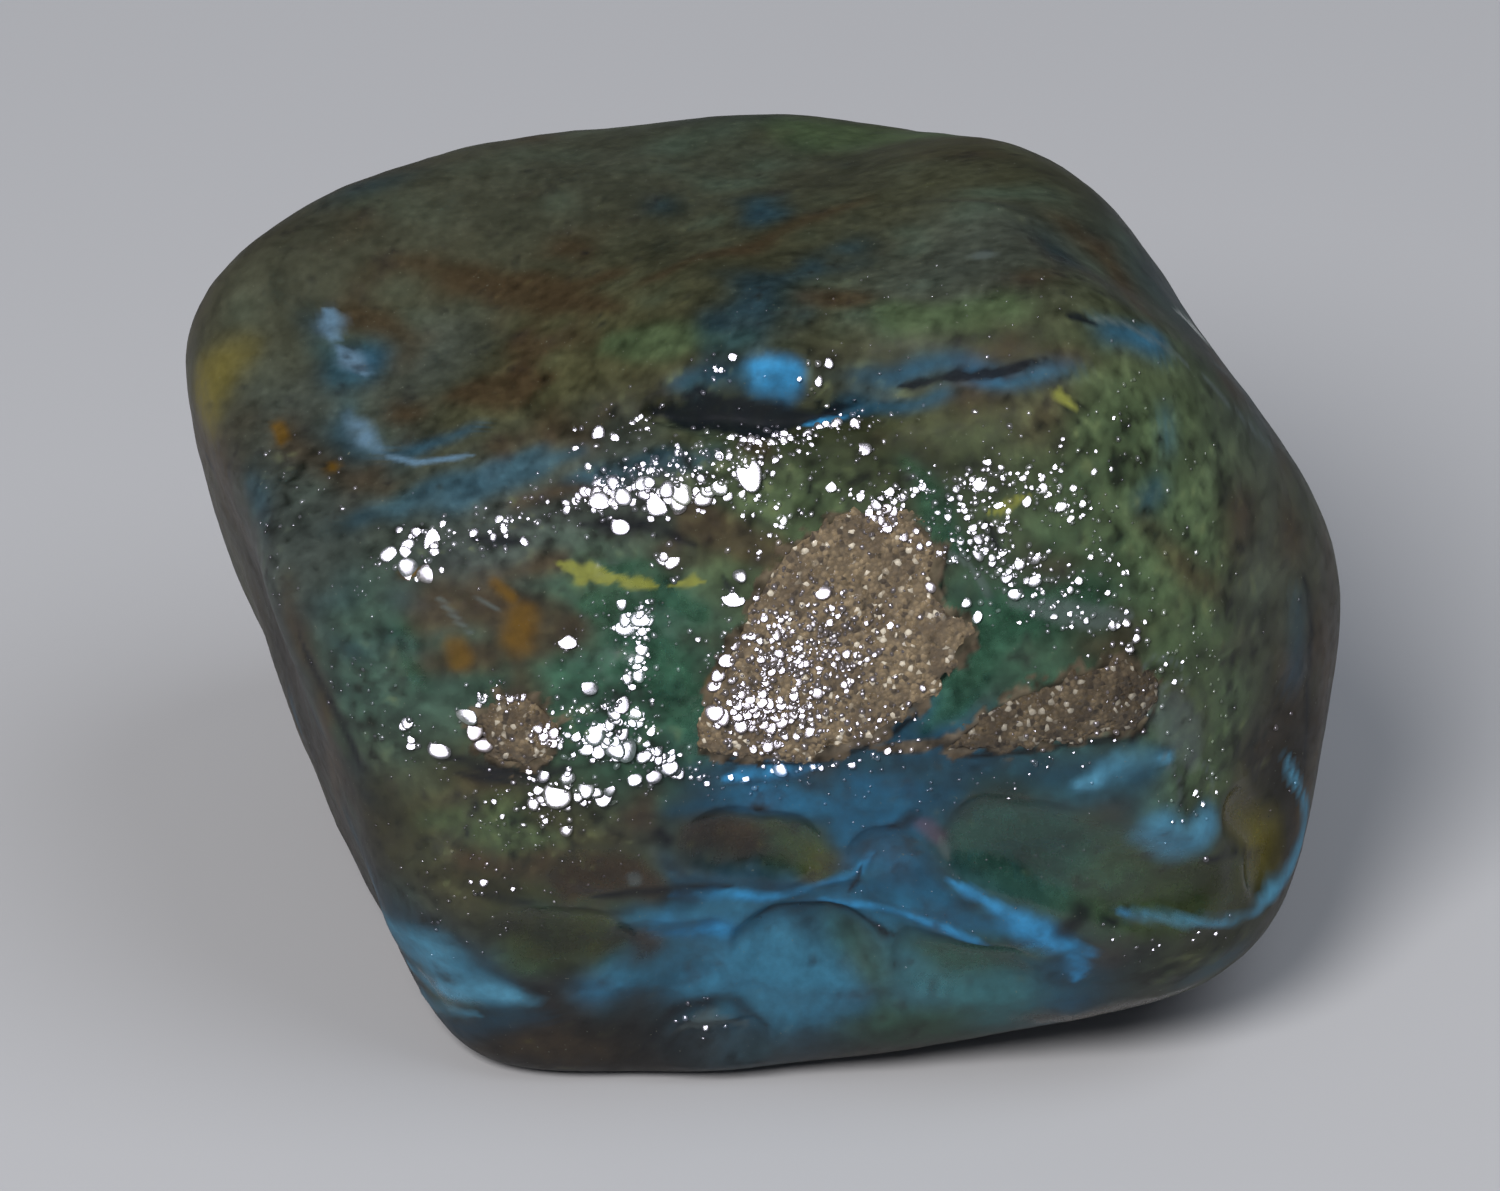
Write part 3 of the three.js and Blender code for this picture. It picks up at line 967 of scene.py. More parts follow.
def placed(runs, seed):
    """Drops along all the runs, the small ones giving way to the large."""
    random = np.random.default_rng(seed)
    drops = []
    for count, smallest, largest, stray, *stops in runs:
        for direction in scattered(count, stray, stops, random):
            share = SIZE_RANGE * (largest - smallest) * random.uniform(0, 1) ** SMALL_FAVOURED
            half = smallest + share
            drops.append(Drop(direction, half, half > CROWD_HALF and count > CROWD_COUNT))
    drops.sort(key=lambda drop: -drop.half)
    kept, kept_directions = [], np.zeros((len(drops), 3))
    for drop in drops:
        apart = USUAL_REACH * np.linalg.norm(kept_directions[: len(kept)] - drop.direction, axis=1)
        if all(apart > DROP_SPACING * (drop.half + np.array([other.half for other in kept]))):
            kept_directions[len(kept)] = drop.direction
            kept.append(drop)
    for drop in [drop for drop in kept if drop.crowded]:
        for _ in range(SATELLITES):
            stray = random.normal(0, SATELLITE_STRAY * drop.half / USUAL_REACH, 3)
            half = drop.half * random.uniform(*SATELLITE_SIZES)
            kept.append(Drop(unit(drop.direction + stray), half))
        drop.half *= SHRINKAGE
    return kept


def closeness_to(drops):
    """How near the skin is to a drop, from 0 to 1."""
    near = np.zeros(len(surface.directions))
    for drop in drops:
        apart = np.linalg.norm(surface.directions - drop.direction, axis=1)
        apart = apart * USUAL_REACH / (drop.half + DROP_SHADE)
        np.maximum(near, np.exp(-(apart**2)), out=near)
    return near


drops = placed(DROPS, 701)
beside_drops = [
    (2 * count, 0.03, 0.1, stray + 0.2, *stops) for count, _, _, stray, *stops in DROPS
]
spatter = placed(SPATTER + beside_drops, 702)
# How near the skin is to a drop, for the painted shade round the drops.
shade_round_drops = closeness_to(drops)

# --- Tones ---
# The tones are what the amber's clouded skin gives back in white light, apart from the painted
# shade and painted halo below.

TONES = {
    "olive": (0.042, 0.041, 0.017),
    "green": (0.050, 0.078, 0.036),
    "dark_olive": (0.018, 0.022, 0.008),
    "grey_olive": (0.044, 0.048, 0.034),
    "smoke": (0.052, 0.068, 0.064),
    "brown": (0.040, 0.026, 0.013),
    "dark_brown": (0.010, 0.007, 0.004),
    "teal": (0.036, 0.074, 0.056),
    "deep_teal": (0.024, 0.068, 0.043),
    "blue": (0.008, 0.046, 0.082),
    "slate": (0.018, 0.036, 0.046),
    # the clear lenses
    "teal_lens": (0.018, 0.052, 0.04),
    "brown_lens": (0.02, 0.012, 0.004),
    "olive_lens": (0.024, 0.03, 0.006),
    "gold_lens": (0.06, 0.05, 0.002),
    # clouds and streaks
    "green_cloud": (0.02, 0.062, 0.066),
    "steel": (0.03, 0.12, 0.19),
    "green_steel": (0.032, 0.1, 0.096),
    "bright": (0.03, 0.19, 0.38),
    "soft_bright": (0.065, 0.2, 0.29),
    "vein": (0.09, 0.16, 0.23),
    "orange": (0.095, 0.05, 0.004),
    "blush": (0.1, 0.055, 0.08),
    "yellow": (0.17, 0.18, 0.035),
    "yellow_corner": (0.15, 0.125, 0.026),
    "pale": (0.09, 0.115, 0.115),
    # pebbled skin, the painted shade in the fold and in cracks and creases, what lies on the skin,
    # and the painted halo round glints
    "pale_pebble": (0.12, 0.14, 0.06),
    "dark_pebble": (0.008, 0.011, 0.007),
    "fold": (0.004, 0.006, 0.009),
    "crack": (0.003, 0.004, 0.006),
    "sand": (0.075, 0.058, 0.04),
    "under_sand": (0.05, 0.04, 0.03),
    "glint_halo": (0.36, 0.34, 0.42),
}

# How a cloud's tone and thickness go from its thin rim to its dense core.
CLOUD_STAGES = [0, 0.25, 0.5, 0.75, 1]
CLOUD_SHARES = [0, 0.45, 0.8, 0.95, 1]
CLOUD_TONES = [
    (0.018, 0.034, 0.036),
    (0.012, 0.04, 0.056),
    (0.009, 0.055, 0.1),
    (0.012, 0.09, 0.18),
    (0.03, 0.16, 0.31),
]

# Azimuth, elevation, spread in degrees and tone of the ground in each part of the skin.
GROUND = [
    (-150, 60, 25, "olive"),
    (-30, 70, 25, "olive"),
    (90, 80, 30, "grey_olive"),
    (150, 50, 20, "grey_olive"),
    (-170, 30, 13, "grey_olive"),
    (-155, 21, 10, "smoke"),
    (-165, 0, 15, "dark_brown"),
    (-150, -20, 14, "dark_brown"),
    (-130, 31, 8, "smoke"),
    (-114, 41, 7, "smoke"),
    (-92, 41, 8, "green"),
    (-110, 18, 10, "deep_teal"),
    (-134, 12, 8, "teal"),
    (-76, 37, 8, "green"),
    (-70, 45, 6, "dark_olive"),
    (-56, 18, 9, "deep_teal"),
    (-40, 28, 14, "green"),
    (-22, 18, 9, "grey_olive"),
    (-15, -3, 9, "dark_brown"),
    (0, 32, 12, "slate"),
    (-40, 63, 9, "smoke"),
    (-166, 41, 7, "smoke"),
    (-171, 27, 6, "smoke"),
    # Painted reflection: this bluish tone on the top right stands in for the sky mirrored there.
    (-15, 60, 10, "smoke"),
    (10, 5, 15, "olive"),
    (-42, 4, 7, "green"),
    (-66, 1, 7, "blue"),
    (-86, 0, 7, "blue"),
    (-72, -11, 9, "blue"),
    (-90, -15, 7, "blue"),
    (-103, -25, 9, "blue"),
    (-86, -27, 8, "blue"),
    (-50, 1, 5, "blue"),
    (-92, -6, 5, "slate"),
    (-125, -7, 10, "olive"),
    (-116, -19, 6, "dark_olive"),
    (-118, -37, 10, "dark_brown"),
    (-110, -36, 6, "dark_brown"),
    (-90, -38, 6, "slate"),
    (-68, -27, 8, "deep_teal"),
    (-54, -24, 6, "blue"),
    (-40, -22, 7, "dark_olive"),
    (-135, -27, 8, "blue"),
    (55, 25, 22, "olive"),
    (90, 5, 20, "deep_teal"),
    (130, 10, 20, "brown"),
    (55, -15, 20, "dark_olive"),
    (125, -25, 20, "slate"),
    (165, -10, 16, "olive"),
    (0, -90, 40, "dark_brown"),
]

# --- Colours of the skin ---

skin = surface.points()
x, y, z = skin.T

# The noise that colours the skin, from broad to fine.
broad = rough_noise(skin, 5.0, 341, 3)
waves = rough_noise(skin * (1, 1, 1.6), 2.2, 371, 4)
swirl = rough_noise(skin, 1.5, 311, 5)
layered = rough_noise(skin * (1, 1, 2.5), 1.3, 331, 5)
streaky = rough_noise(skin, 0.9, 381, 5)
fine = rough_noise(skin, 0.45, 321, 4)
ragged = rough_noise(skin, 0.35, 351, 3)
grain = rough_noise(skin, 0.25, 361, 2)
mixed = 0.6 * swirl + 0.4 * fine

LIP = (11, -11.2, 7.8)  # where the bright lip at the lower right is brightest
LIP_REACH = 2.2
CLEARING_TONE = 0.26  # the skin is clearer the darker it is than this


def blended(under, over, share):
    under, over = np.asarray(under), np.asarray(over)
    return under + (over - under) * np.clip(share, 0, 1)[:, None]


def painted(under, **shares):
    """The named tones laid over another, each by its share."""
    for name, share in shares.items():
        under = blended(under, TONES[name], share)
    return under


def wisps(mask, noise, strength=0.9):
    """A mask thinned and thickened by noise, most of all along its soft edge."""
    return smoothstep(mask + strength * noise * (0.35 + 4 * mask * (1 - mask)) * 0.5, 0.1, 0.95)


def strongest(*values):
    return np.maximum.reduce(values)


def softened(tone, steps):
    return np.stack([surface.averaged(channel, steps) for channel in tone.T], -1)


def ground_tone():
    """The tones of the ground, each strong within its spread and faint everywhere else."""
    directions = wandering(1.2, 301, 4.0, 4)
    total, weight = np.zeros((len(directions), 3)), np.full(len(directions), 1e-9)
    for azimuth, elevation, spread, tone in GROUND:
        apart = np.linalg.norm(directions - towards(azimuth, elevation), axis=1)
        share = np.exp(-((apart / math.radians(spread)) ** 2)) + 1e-4 / (0.05 + apart**2)
        total += share[:, None] * np.array(TONES[tone])
        weight += share
    return total / weight[:, None]


def ground():
    """The plain skin, with patches of brown, teal and green."""
    tone = painted(
        ground_tone() * (1 + 0.75 * layered + 0.3 * broad)[:, None].clip(0.3, 2.2),
        brown=0.8 * smoothstep(swirl + 0.5 * broad, 0.05, 0.6),
        teal=0.5 * smoothstep(layered - 0.4 * broad, 0.2, 0.8),
        green=0.8 * wisps(masks["green"], mixed),
        deep_teal=0.8 * wisps(masks["teal"], layered),
    )
    return painted(tone, brown=0.85 * wisps(masks["brown"], swirl))


def cloud_density():
    cloud = 0.55 * wisps(masks["blue"], swirl) + 0.2 * layered * masks["blue"]
    haze = 0.34 * wisps(masks["haze"], swirl)
    stray = 0.35 * smoothstep(-broad - 0.6 * layered, 0.3, 0.9)
    return strongest(cloud, haze, stray) * (1 - 0.95 * open_lens)


def lens_tone():
    olive = smoothstep(np.abs(x - 5.5) + 2.5 * swirl + 2 * broad, 2, 5.5)
    tone = painted(
        TONES["teal_lens"],
        brown_lens=masks["brown_lens"],
        olive_lens=olive * (1 - masks["brown_lens"]),
        gold_lens=masks["gold_lens"],
    )
    return tone * (1 + 0.9 * swirl + 0.8 * layered + 0.3 * broad).clip(0.25, 2.4)[:, None]


def clouded(tone):
    """The blue clouds over the ground, and the lenses that they leave open."""
    cloud = cloud_density()
    stages = np.stack(
        [np.interp(cloud, CLOUD_STAGES, row) for row in np.transpose(CLOUD_TONES)], -1
    )
    stages = stages * (0.7 + smoothstep(waves + 0.4 * swirl, -0.35, 0.45))[:, None]
    stages = painted(stages, green_cloud=0.6 * smoothstep(layered - waves, 0.1, 0.7))
    tone = blended(tone, stages, np.interp(cloud, CLOUD_STAGES, CLOUD_SHARES))
    steel = np.outer(1 + 0.35 * broad + 0.35 * waves, TONES["steel"])
    steel = painted(steel, green_steel=0.8 * smoothstep(x + 2 * swirl, 2.5, 6))
    tone = blended(tone, steel, 0.75 * masks["steel"])
    return blended(tone, lens_tone(), 0.95 * open_lens)


def mottled(tone):
    """The tone softened, mottled where the skin is rough, and with painted shade round the drops
    and low down.
    """
    calm = 1 - 0.75 * strongest(open_lens, masks["steel"], 0.7 * masks["blue"])
    calm = calm * (1 - 0.4 * smoothstep(z, 14, 17) * smoothstep(y, -7, -2))
    mottle = (0.65 * fine + 0.5 * grain + 0.5 * masks["pebbles"] * (fine + grain)) * calm
    tone = softened(tone, 4) * (1 + mottle).clip(0.25, 2.2)[:, None]
    # Painted shade: darker on the lower left, and at the foot near the floor left of the middle.
    low_left = smoothstep(-x, 11, 13) * smoothstep(-z, -14, -10)
    foot = smoothstep(-z, -3.2, -1.8) * smoothstep(-x, 1, 4)
    shade = strongest(low_left, foot)
    tone = tone * ((1 - 0.3 * shade_round_drops) * (1 - 0.45 * shade))[:, None]
    pebble = grain + 0.8 * fine
    return painted(
        tone,
        pale_pebble=0.5 * masks["pebbles"] * smoothstep(pebble, 0.3, 0.9),
        dark_pebble=0.75 * masks["pebbles"] * smoothstep(-pebble, 0.3, 0.9),
    )


def bright_tone():
    """The tone of the bright streaks, softer to the sides and grey in the vein at the left."""
    high_right = smoothstep(x, 5, 8) * smoothstep(z, 5.5, 7.5)
    soft = strongest(high_right, smoothstep(-x, 2, 6), smoothstep(x, 8.5, 10.5))
    vein = smoothstep(-x, 5.5, 7.5) * smoothstep(z, 12, 14)
    return painted(np.outer(1 + 0.5 * fine, TONES["bright"]), soft_bright=0.9 * soft, vein=vein)


def streaked(tone):
    """The streaks in bright blue, orange, pink, yellow and white, then painted shade in the fold,
    the cracks and under the ridge and small crust, and the crusts' painted shadow.
    """
    lip = 1 - np.clip(np.linalg.norm(skin - LIP, axis=1) / LIP_REACH, 0, 1)
    glow = smoothstep(streaky + 0.25 * fine + 0.6 * knob + lip, -0.35, 0.25)
    tone = blended(tone, bright_tone(), masks["bright"] * (0.35 + 0.75 * glow))
    orange = smoothstep(masks["orange"] + 0.3 * swirl + 0.25 * fine, 0.05, 1)
    blush = smoothstep(masks["blush"] + 0.3 * swirl + 0.2 * fine, 0.05, 1)
    tone = painted(tone, orange=0.85 * orange, blush=0.5 * blush)
    corner = smoothstep(-x, 8, 10)
    yellow = wisps(masks["yellow"], 1.6 * fine + 0.8 * grain, 1.2) * (1 - corner)
    yellow += corner * smoothstep(surface.averaged(masks["yellow"], 14) + 0.12 * swirl, 0.05, 0.6)
    yellow_tone = painted(TONES["yellow"], yellow_corner=corner)
    tone = blended(tone, yellow_tone, (0.9 - 0.25 * corner) * yellow)
    # Painted shade: the fold under the knob goes near black, and the cracks and the bands under
    # the ridge and small crust go dark.
    fold = smoothstep(masks["fold"] + 0.9 * fine + 0.4 * swirl, 0.1, 0.9)
    torn = 0.65 + 0.35 * smoothstep(fine + 0.8 * swirl, -0.5, 0.2)
    tone = painted(
        tone,
        pale=0.5 * wisps(masks["pale"], 1.5 * mixed, 1.3),
        fold=0.95 * fold,
        crack=0.93 * masks["dark"] * torn,
    )
    return tone * (1 - 0.9 * crust_shadow)[:, None]


def sanded(tone):
    grains = np.outer((1 + 1.1 * grain + 0.5 * fine).clip(0.3, 2), TONES["sand"])
    return blended(tone, grains, 0.9 * sand)


open_lens = strongest(masks["brown_lens"], masks["green_lens"], masks["gold_lens"])
open_lens = smoothstep(open_lens + 0.15 * swirl, 0.1, 0.9)
sand = strongest(wisps(masks["sand"], fine), smoothstep(crust_depth + 0.5 * ragged, -0.12, 0))
tone = sanded(streaked(mottled(clouded(ground()))))
clear = np.clip(1 - tone.mean(1) / CLEARING_TONE, 0.3, 0.92) * (1 - sand)
matt = 1 - 0.8 * strongest(open_lens, masks["teal"]) * (1 - masks["dark"])

# --- Looks ---

AMBER_IOR = 1.54
ABSORBED = (0.74, 0.68, 0.34)
ABSORPTION = 500
SAND_GRAIN = 0.13


class Look:
    """A material under construction, with short names for the nodes it uses."""

    def __init__(self, name):
        self.material = bpy.data.materials.new(name)
        self.material.use_nodes = True
        self.tree = self.material.node_tree
        self.shader = self.tree.nodes["Principled BSDF"]
        self.place = self.scaled(self.node("TexCoord").outputs["Object"], 1 / MM)

    def link(self, value, socket):
        if isinstance(value, bpy.types.NodeSocket):
            self.tree.links.new(value, socket)
        elif hasattr(socket.default_value, "__len__") and len(socket.default_value) == 4:
            socket.default_value = (*value, 1)
        else:
            socket.default_value = value

    def node(self, kind, **inputs):
        node = self.tree.nodes.new("ShaderNode" + kind)
        for name, value in inputs.items():
            self.link(value, node.inputs[name])
        return node

    def scaled(self, value, scale):
        node = self.node("VectorMath")
        node.operation = "SCALE"
        self.link(value, node.inputs[0])
        self.link(scale, node.inputs["Scale"])
        return node.outputs["Vector"]

    def math(self, operation, first, second):
        node = self.node("Math")
        node.operation = operation
        self.link(first, node.inputs[0])
        self.link(second, node.inputs[1])
        return node.outputs["Value"]

    def noise(self, size, detail=3, roughness=0.6, distortion=0):
        settings = {"Detail": detail, "Roughness": roughness, "Distortion": distortion}
        return self.node("TexNoise", Vector=self.place, Scale=1 / size, **settings).outputs["Fac"]

    def cells(self, size, output):
        return self.node("TexVoronoi", Vector=self.place, Scale=1 / size).outputs[output]

    def spread(self, value, start, end, low=0, high=1, smooth=True):
        """The value taken from the first range to the second and kept in it."""
        node = self.node("MapRange")
        node.interpolation_type = "SMOOTHSTEP" if smooth else "LINEAR"
        for socket, setting in zip(node.inputs, (value, start, end, low, high)):
            self.link(setting, socket)
        return node.outputs["Result"]

    def mix(self, share, first, second):
        """Between two colours."""
        node = self.node("Mix")
        node.data_type = "RGBA"
        self.link(share, node.inputs["Factor"])
        self.link(first, node.inputs[6])
        self.link(second, node.inputs[7])
        return node.outputs[2]

    def blend(self, share, first, second):
        """Between two numbers."""
        node = self.node("Mix", Factor=share)
        self.link(first, node.inputs[2])
        self.link(second, node.inputs[3])
        return node.outputs[0]

    def attribute(self, name):
        node = self.node("Attribute")
        node.attribute_name = name
        return node.outputs["Color"]

    def channels(self, colour):
        outputs = self.node("SeparateColor", Color=colour).outputs
        return outputs["Red"], outputs["Green"], outputs["Blue"]

    def finished(self, tone, rough, height, distance):
        """The material with this colour, roughness and height of bumps, in millimetres."""
        bump = self.node("Bump", Height=height, Distance=distance * MM, Strength=1)
        self.link(tone, self.shader.inputs["Base Color"])
        self.link(rough, self.shader.inputs["Roughness"])
        self.link(bump.outputs["Normal"], self.shader.inputs["Normal"])
        return self.material


def amber_look():
    look = Look("amber")
    clearness, sandiness, dullness = look.channels(look.attribute("skin_kind"))
    flecks = look.noise(0.3)
    specks = look.noise(0.09, 1, 0.5)
    shade = look.spread(flecks, 0.3, 0.7, 0.86, 1.16, smooth=False)
    tone = look.scaled(look.attribute("skin_tone"), shade)
    pale = look.math(
        "MULTIPLY", look.spread(specks, 0.7, 0.8), look.spread(flecks, 0.5, 0.6, 0, 0.7)
    )
    tone = look.mix(look.math("MULTIPLY", pale, dullness), tone, (0.12, 0.13, 0.1))
    # The clearer the skin, the less of its tone is given back, so the tone is raised to match.
    tone = look.scaled(tone, look.math("DIVIDE", 1, look.math("SUBTRACT", 1, clearness)))
    polished = look.spread(flecks, 0.35, 0.7, 0.12, 0.24, smooth=False)
    dull = look.spread(flecks, 0.35, 0.7, 0.5, 0.66, smooth=False)
    rough = look.blend(sandiness, look.blend(dullness, polished, dull), 0.8)
    ripple = look.math("MULTIPLY", flecks, 0.012)
    ripple = look.math("ADD", ripple, look.math("MULTIPLY", specks, 0.003))
    ripple = look.math("MULTIPLY", ripple, look.spread(dullness, 0, 1, 0.25, 1))
    look.link(clearness, look.shader.inputs["Transmission Weight"])
    look.shader.inputs["IOR"].default_value = AMBER_IOR
    look.shader.inputs["Specular IOR Level"].default_value = 0.15
    absorb = look.node("VolumeAbsorption", Color=ABSORBED, Density=ABSORPTION)
    look.link(absorb.outputs["Volume"], look.tree.nodes["Material Output"].inputs["Volume"])
    return look.finished(tone, rough, ripple, 1)


def crust_look(name, light_gain):
    look = Look(name)
    shade, shine, _ = look.channels(look.cells(SAND_GRAIN, "Color"))
    gap = look.cells(SAND_GRAIN, "Distance")
    tone = look.mix(shade, (0.062, 0.046, 0.028), (0.12, 0.09, 0.055))
    # Each layer is a share and the tone that it brings in.
    layers = [
        (look.spread(look.noise(0.8, 4, 0.6, 0.4), 0.38, 0.62), (0.05, 0.037, 0.024)),
        (look.spread(look.noise(0.3), 0.56, 0.7, 0, 0.85), (0.02, 0.016, 0.012)),
        (look.spread(shine, 0.9, 0.95, 0, 0.8), (0.3, 0.27, 0.22)),
        (look.spread(shine, 0.12, 0.06, 0, 0.8), (0.02, 0.016, 0.013)),
        (look.spread(gap, 0.35, 0.75, 0, 0.5), (0.035, 0.028, 0.02)),
    ]
    for share, layer_tone in layers:
        tone = look.mix(share, tone, layer_tone)
    rough = look.spread(shine, 0.45, 0.8, 0.6, 0.12)
    height = look.math("MULTIPLY", look.noise(0.07), 0.35)
    height = look.math("ADD", look.spread(gap, 0, 0.7, 1, 0), height)
    # The sand's tone brightened by the patch's painted light.
    return look.finished(look.scaled(tone, light_gain), rough, height, 0.03)


def drop_look(name):
    look = Look(name)
    noise = look.noise(0.2)
    tone = look.scaled(look.attribute("skin_tone"), look.spread(noise, 0.3, 0.7, 1.05, 1.5))
    look.shader.inputs["Transmission Weight"].default_value = 0.15
    look.shader.inputs["IOR"].default_value = AMBER_IOR
    return look.finished(tone, look.spread(noise, 0.3, 0.7, 0.07, 0.13), noise, 0.0004)


def cloud_look(name, tone, dark_tone):
    look = Look(name)
    noise = look.noise(0.7, 4, 0.6, 0.4)
    tone = look.mix(look.spread(noise, 0.3, 0.7), dark_tone, tone)
    return look.finished(tone, look.spread(noise, 0.3, 0.7, 0.6, 0.8), noise, 0.02)


# --- Amber and crusts ---

# Painted light: the sand of each patch is brightened by how much light and glint it catches, the
# middle one most.
CRUST_LIGHT_GAINS = [2.15, 1.15, 1.6]  # how bright the sand of each patch is
CRUST_SUNK = 0.16  # how far the crust's rim lies below the bare amber
CRUST_DOME = 0.14
CRUST_BOTTOM = 0.75
GRAIN_HEIGHT, SMALL_GRAIN_HEIGHT, LUMP_HEIGHT = 0.06, 0.03, 0.12


def add_object(name, data):
    thing = bpy.data.objects.new(name, data)
    bpy.context.scene.collection.objects.link(thing)
    return thing


def add_piece(name, points, faces, material, slot):
    """A piece from points in millimetres, riding on the one body."""
    mesh = bpy.data.meshes.new(name)
    mesh.from_pydata((points * MM).tolist(), [], faces.tolist())
    mesh.update()
    mesh.shade_smooth()
    mesh.materials.append(material)
    piece = add_object(name, mesh)
    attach(piece, "root")
    return piece


def paint(piece, name, columns):
    colours = np.ones((len(columns[0]), 4), np.float32)
    for i, column in enumerate(columns):
        colours[:, i] = column
    layer = piece.data.attributes.new(name, "FLOAT_COLOR", "POINT")
    layer.data.foreach_set("color", colours.ravel())


def grain_relief(points, seed):
    """Packed sand grains, some sunk and some missing."""
    apart, number = nearest_seed(points, 0.2, seed)
    grains = np.sqrt(np.clip(1 - (apart / 0.16) ** 2, 0, 1))
    grains = GRAIN_HEIGHT * grains * (0.35 + 0.65 * number)
    apart, number = nearest_seed(points, 0.11, seed + 1)
    small = np.sqrt(np.clip(1 - (apart / 0.09) ** 2, 0, 1)) * number
    lumps = rough_noise(points, 1.1, seed + 2, 3)
    return grains + SMALL_GRAIN_HEIGHT * small + LUMP_HEIGHT * lumps


def add_crust(patch, light_gain, seed):
    """A slab of packed sand over the patch, highest inside, its ragged rim sunk in the amber."""
    reach = reach_of(bare_tree, patch.directions)
    points = at_reach(patch.directions, reach)
    rim = 0.35 * rough_noise(points, 0.9, seed + 5, 3)
    rim += 0.3 * rough_noise(points, 0.3, seed + 6, 2)
    inner = patch.depth + 0.1 + rim
    dome = smoothstep(inner, -0.05, 0.3)
    top = reach - CRUST_SUNK + CRUST_DOME * dome + grain_relief(points, seed)
    quads = grid_quads(patch.shape)
    quads = quads[(inner[quads] > -0.15).all(axis=1)]
    upper = at_reach(patch.directions, top)
    lower = at_reach(patch.directions, reach - CRUST_BOTTOM)
    look = crust_look(patch.name, light_gain)
    mesh = closed_shell(quads, upper, lower)
    piece = add_piece(patch.name + "_visual", *mesh, look, "sandy_crust")
    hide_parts(patch.name)
    return piece


crusts = [
    add_crust(patch, light_gain, 401 + 20 * number)
    for number, (patch, light_gain) in enumerate(zip(patches, CRUST_LIGHT_GAINS))
]

amber = add_piece("amber_body_visual", skin, surface.quads, amber_look(), "amber")
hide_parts(AMBER_NODE)
paint(amber, "skin_tone", tone.T)
paint(amber, "skin_kind", (clear, sand, matt))

# --- Drops ---

# The smallest half width that each ball is fine enough for, and the quads along its cube's edge.
BALL_KINDS = [(0.2, 6), (0.1, 4), (0.06, 3), (0, 2)]
BALLS = [(smallest, ball_grid(cells)) for smallest, cells in BALL_KINDS]
STEEPEST = 0.9  # sine of the most that a drop's top may lean from the skin
# How deep a drop's foot is, how far a leaning drop is lifted and all are sunk, in half widths.
FOOT, LIFT, SINK = 0.18, 0.62, 0.02


def blob(ball, random):
    """The ball with an uneven outline."""
    turn = np.arctan2(ball[:, 1], ball[:, 0])
    outline = 1.0
    for lobes, height in ((2, 0.08), (3, 0.05)):
        outline = outline + height * np.sin(lobes * turn + random.uniform(0, 6))
    return ball * np.stack([outline, outline, np.ones(len(ball))], -1)


def add_drops(name, drops, rise, glint_halo, seed):
    """Drops with a rounded foot in the skin and a nearly flat top that mirrors the lamp, their
    tone paled by a painted halo round the glint.
    """
    random = np.random.default_rng(seed)
    meshes, tones = [], []
    for drop in drops:
        ball, quads = next(ball for smallest, ball in BALLS if drop.half >= smallest)
        place, normal, _, _ = ray_in(skin_tree, drop.direction)
        nearest = np.argmax(surface.directions @ drop.direction)
        facing = unit(shining(np.array(place)) + random.normal(0, 0.01, 3))
        side = unit(np.cross(facing, random.normal(0, 1, 3)))
        across = side * random.uniform(0.85, 1.35)
        axes = np.array([across, np.cross(facing, side), facing]) * drop.half
        tilt = math.sqrt(max(0, 1 - float(np.dot(facing, normal)) ** 2))
        if tilt > STEEPEST:
            continue
        scale = np.where(ball[:, 2:] > 0, (1, 1, random.uniform(0.3, 1) * rise), (1, 1, FOOT))
        middle = np.array(place) + facing * drop.half * (LIFT * tilt - SINK)
        meshes.append((middle + (blob(ball, random) * scale) @ axes, quads))
        under = TONES["under_sand"] if crust_depth[nearest] > 0.05 else tone[nearest]
        # Painted highlight: each drop's tone is paled towards a lilac-grey halo round its glint.
        tones += [np.array(under) * (1 - glint_halo) + np.array(TONES["glint_halo"]) * glint_halo] * len(ball)
    piece = add_piece(name, *joined(meshes), drop_look(name), "amber")
    paint(piece, "skin_tone", np.transpose(tones))


skin_tree = tree_of([amber, *crusts])
add_drops("resin_drops", drops, 0.03, 0.14, 711)
add_drops("resin_spatter", spatter, 0.2, 0.1, 712)

# --- Sealed in the amber ---

CLOUD_THICKNESS = 0.12

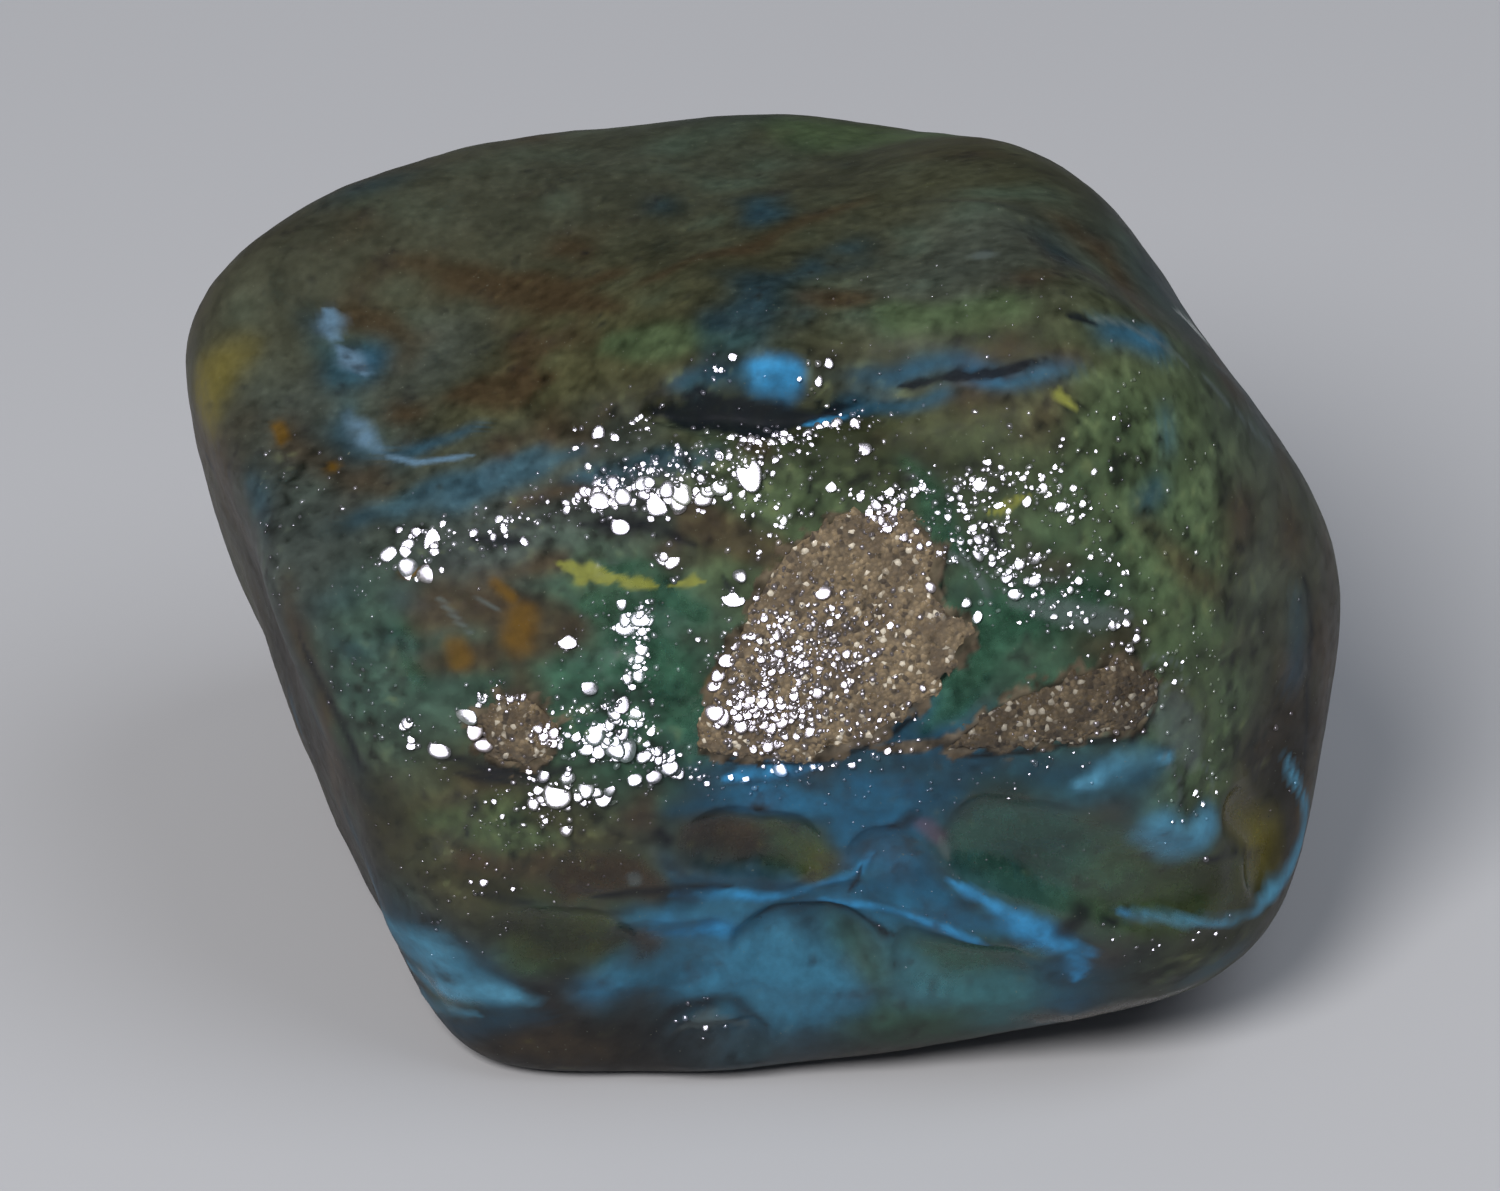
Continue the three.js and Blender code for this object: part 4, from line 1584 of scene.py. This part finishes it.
# For each kind of cloud: its light and dark tone, then its sheets, each a depth and a mark.
CLOUDS = {
    "blue": (
        (0.04, 0.24, 0.46),
        (0.02, 0.12, 0.26),
        [
            (0.9, (1.2, (-112, -23), (-98, -22), (-88, -26))),
            (1.4, (0.8, (-84, -14), (-72, -16), (-60, -17))),
            (0.8, (0.6, (-100, -1), (-85, 1), (-70, 0))),
            (1.0, (0.6, (-56, 3), (-46, 3))),
            (0.9, (0.6, (-138, -26), (-128, -28))),
            (1.2, (0.5, (-96, 55), (-78, 54), (-60, 50))),
            (1.0, (0.45, (-170, 33), (-158, 33), (-148, 34))),
            (1.6, (0.6, (-44, 36), (-36, 30), (-34, 22))),
        ],
    ),
    "teal": (
        (0.05, 0.2, 0.13),
        (0.02, 0.11, 0.07),
        [
            (1.3, (1.3, (-112, 24), (-104, 18), (-99, 9))),
            (1.1, (0.9, (-62, 16), (-54, 21), (-46, 19))),
            (1.2, (0.7, (-136, 14), (-128, 13))),
            (1.8, (1.0, (-62, -7), (-52, -9), (-44, -9))),
            (1.5, (0.8, (-68, -25), (-58, -23))),
            (1.6, (0.9, (-100, 66), (-70, 68))),
            (1.4, (0.9, (100, 20), (130, 8))),
            (1.4, (0.9, (20, 10), (50, 0))),
        ],
    ),
    "brown": (
        (0.26, 0.14, 0.05),
        (0.1, 0.05, 0.02),
        [
            (1.4, (0.8, (-97, -6), (-88, -9))),
            (1.6, (0.8, (-128, -9), (-112, -11))),
            (1.2, (0.5, (-98, 34), (-88, 31))),
            (1.5, (1.0, (-165, 45), (-140, 50), (-120, 58))),
            (1.3, (0.6, (-33, -9), (-32, -13))),
            (1.8, (1.2, (-50, 64), (-20, 66))),
            (1.3, (0.9, (70, 25), (100, 35))),
            (1.5, (1.0, (150, 5), (165, -5))),
        ],
    ),
}


def add_clouds(kind, seed):
    """Thin torn sheets that follow the skin at some depth, all of one kind in one piece."""
    tone, dark_tone, sheets = CLOUDS[kind]
    level = surface.averaged(surface.reach, 6)
    rolling = 0.5 * rough_noise(bare_points, 2.0, seed + 50, 2)
    meshes = []
    for number, (depth, mark) in enumerate(sheets):
        share = smoothstep(surface.closeness(mark, wide), 1.5, 0.2)
        torn = rough_noise(bare_points, 1.2, seed + 7 * number, 3)
        body = share + 0.8 * torn * (1 - 0.5 * share) - 0.35
        middle = level - depth - rolling
        thick = CLOUD_THICKNESS * np.clip(body * 3, 0.05, 1)
        upper = at_reach(surface.directions, middle + thick)
        lower = at_reach(surface.directions, middle - thick)
        whole = np.all(body[surface.quads] > 0, axis=1)
        meshes.append(closed_shell(surface.quads[whole], upper, lower))
    name = "cloud_" + kind
    add_piece(name, *joined(meshes), cloud_look(name, tone, dark_tone), "amber")


for number, kind in enumerate(CLOUDS):
    add_clouds(kind, 501 + 100 * number)

# --- Stage ---
# Lengths are metres from here on.

LENS = 237
SENSOR = 36
FLOOR_TONE = (0.42, 0.42, 0.44, 1)
SKY_TONE = (0.8, 0.88, 1, 1)
target = Vector((HEART[0] * MM - 0.00013, HEART[1] * MM, (HEART[2] - 0.5) * MM))

bpy.ops.mesh.primitive_plane_add(size=2)
floor = bpy.context.object
floor.name = "floor"
floor_look = bpy.data.materials.new("floor")
floor_look.use_nodes = True
floor_shader = floor_look.node_tree.nodes["Principled BSDF"]
floor_shader.inputs["Base Color"].default_value = FLOOR_TONE
floor_shader.inputs["Roughness"].default_value = 0.9
floor.data.materials.append(floor_look)

camera_data = bpy.data.cameras.new("camera")
camera_data.lens = LENS
camera_data.sensor_width = SENSOR
camera = add_object("camera", camera_data)
camera.location = target + Vector(towards(-90, CAMERA_ELEVATION)) * (CAMERA_DISTANCE * MM)
camera.rotation_euler = (math.radians(90 - CAMERA_ELEVATION), 0, 0)
bpy.context.scene.camera = camera

world = bpy.data.worlds.new("world")
world.cycles_visibility.glossy = False
world.cycles_visibility.transmission = False
world.use_nodes = True
background = world.node_tree.nodes["Background"]
background.inputs["Color"].default_value = SKY_TONE
background.inputs["Strength"].default_value = 0.2
bpy.context.scene.world = world
bpy.context.scene.view_settings.view_transform = "Standard"


def area_light(name, side, distance, size, power, colour):
    """A round lamp aimed at the nugget from a direction."""
    data = bpy.data.lights.new(name, "AREA")
    data.shape = "DISK"
    data.size = size
    data.energy = power
    data.color = colour
    light = add_object(name, data)
    out = Vector(towards(*side))
    light.location = target + out * distance
    light.rotation_euler = out.to_track_quat("Z", "Y").to_euler()
    return light


key = area_light("key", (-115, 44), 0.45, 0.2, 2.2, (1, 0.98, 0.95))
fill = area_light("fill", (-20, 60), 0.5, 0.4, 1.0, (0.9, 0.95, 1))
for light in key, fill:
    light.visible_glossy = light.visible_transmission = False

# The drops mirror this lamp. It shows in gloss and through clear amber but lights no matt skin.
shine = area_light("shine", LIGHT_SIDE, LIGHT_DISTANCE * MM, 0.05, 0.28, (0.9, 0.86, 1))
shine.visible_diffuse = False
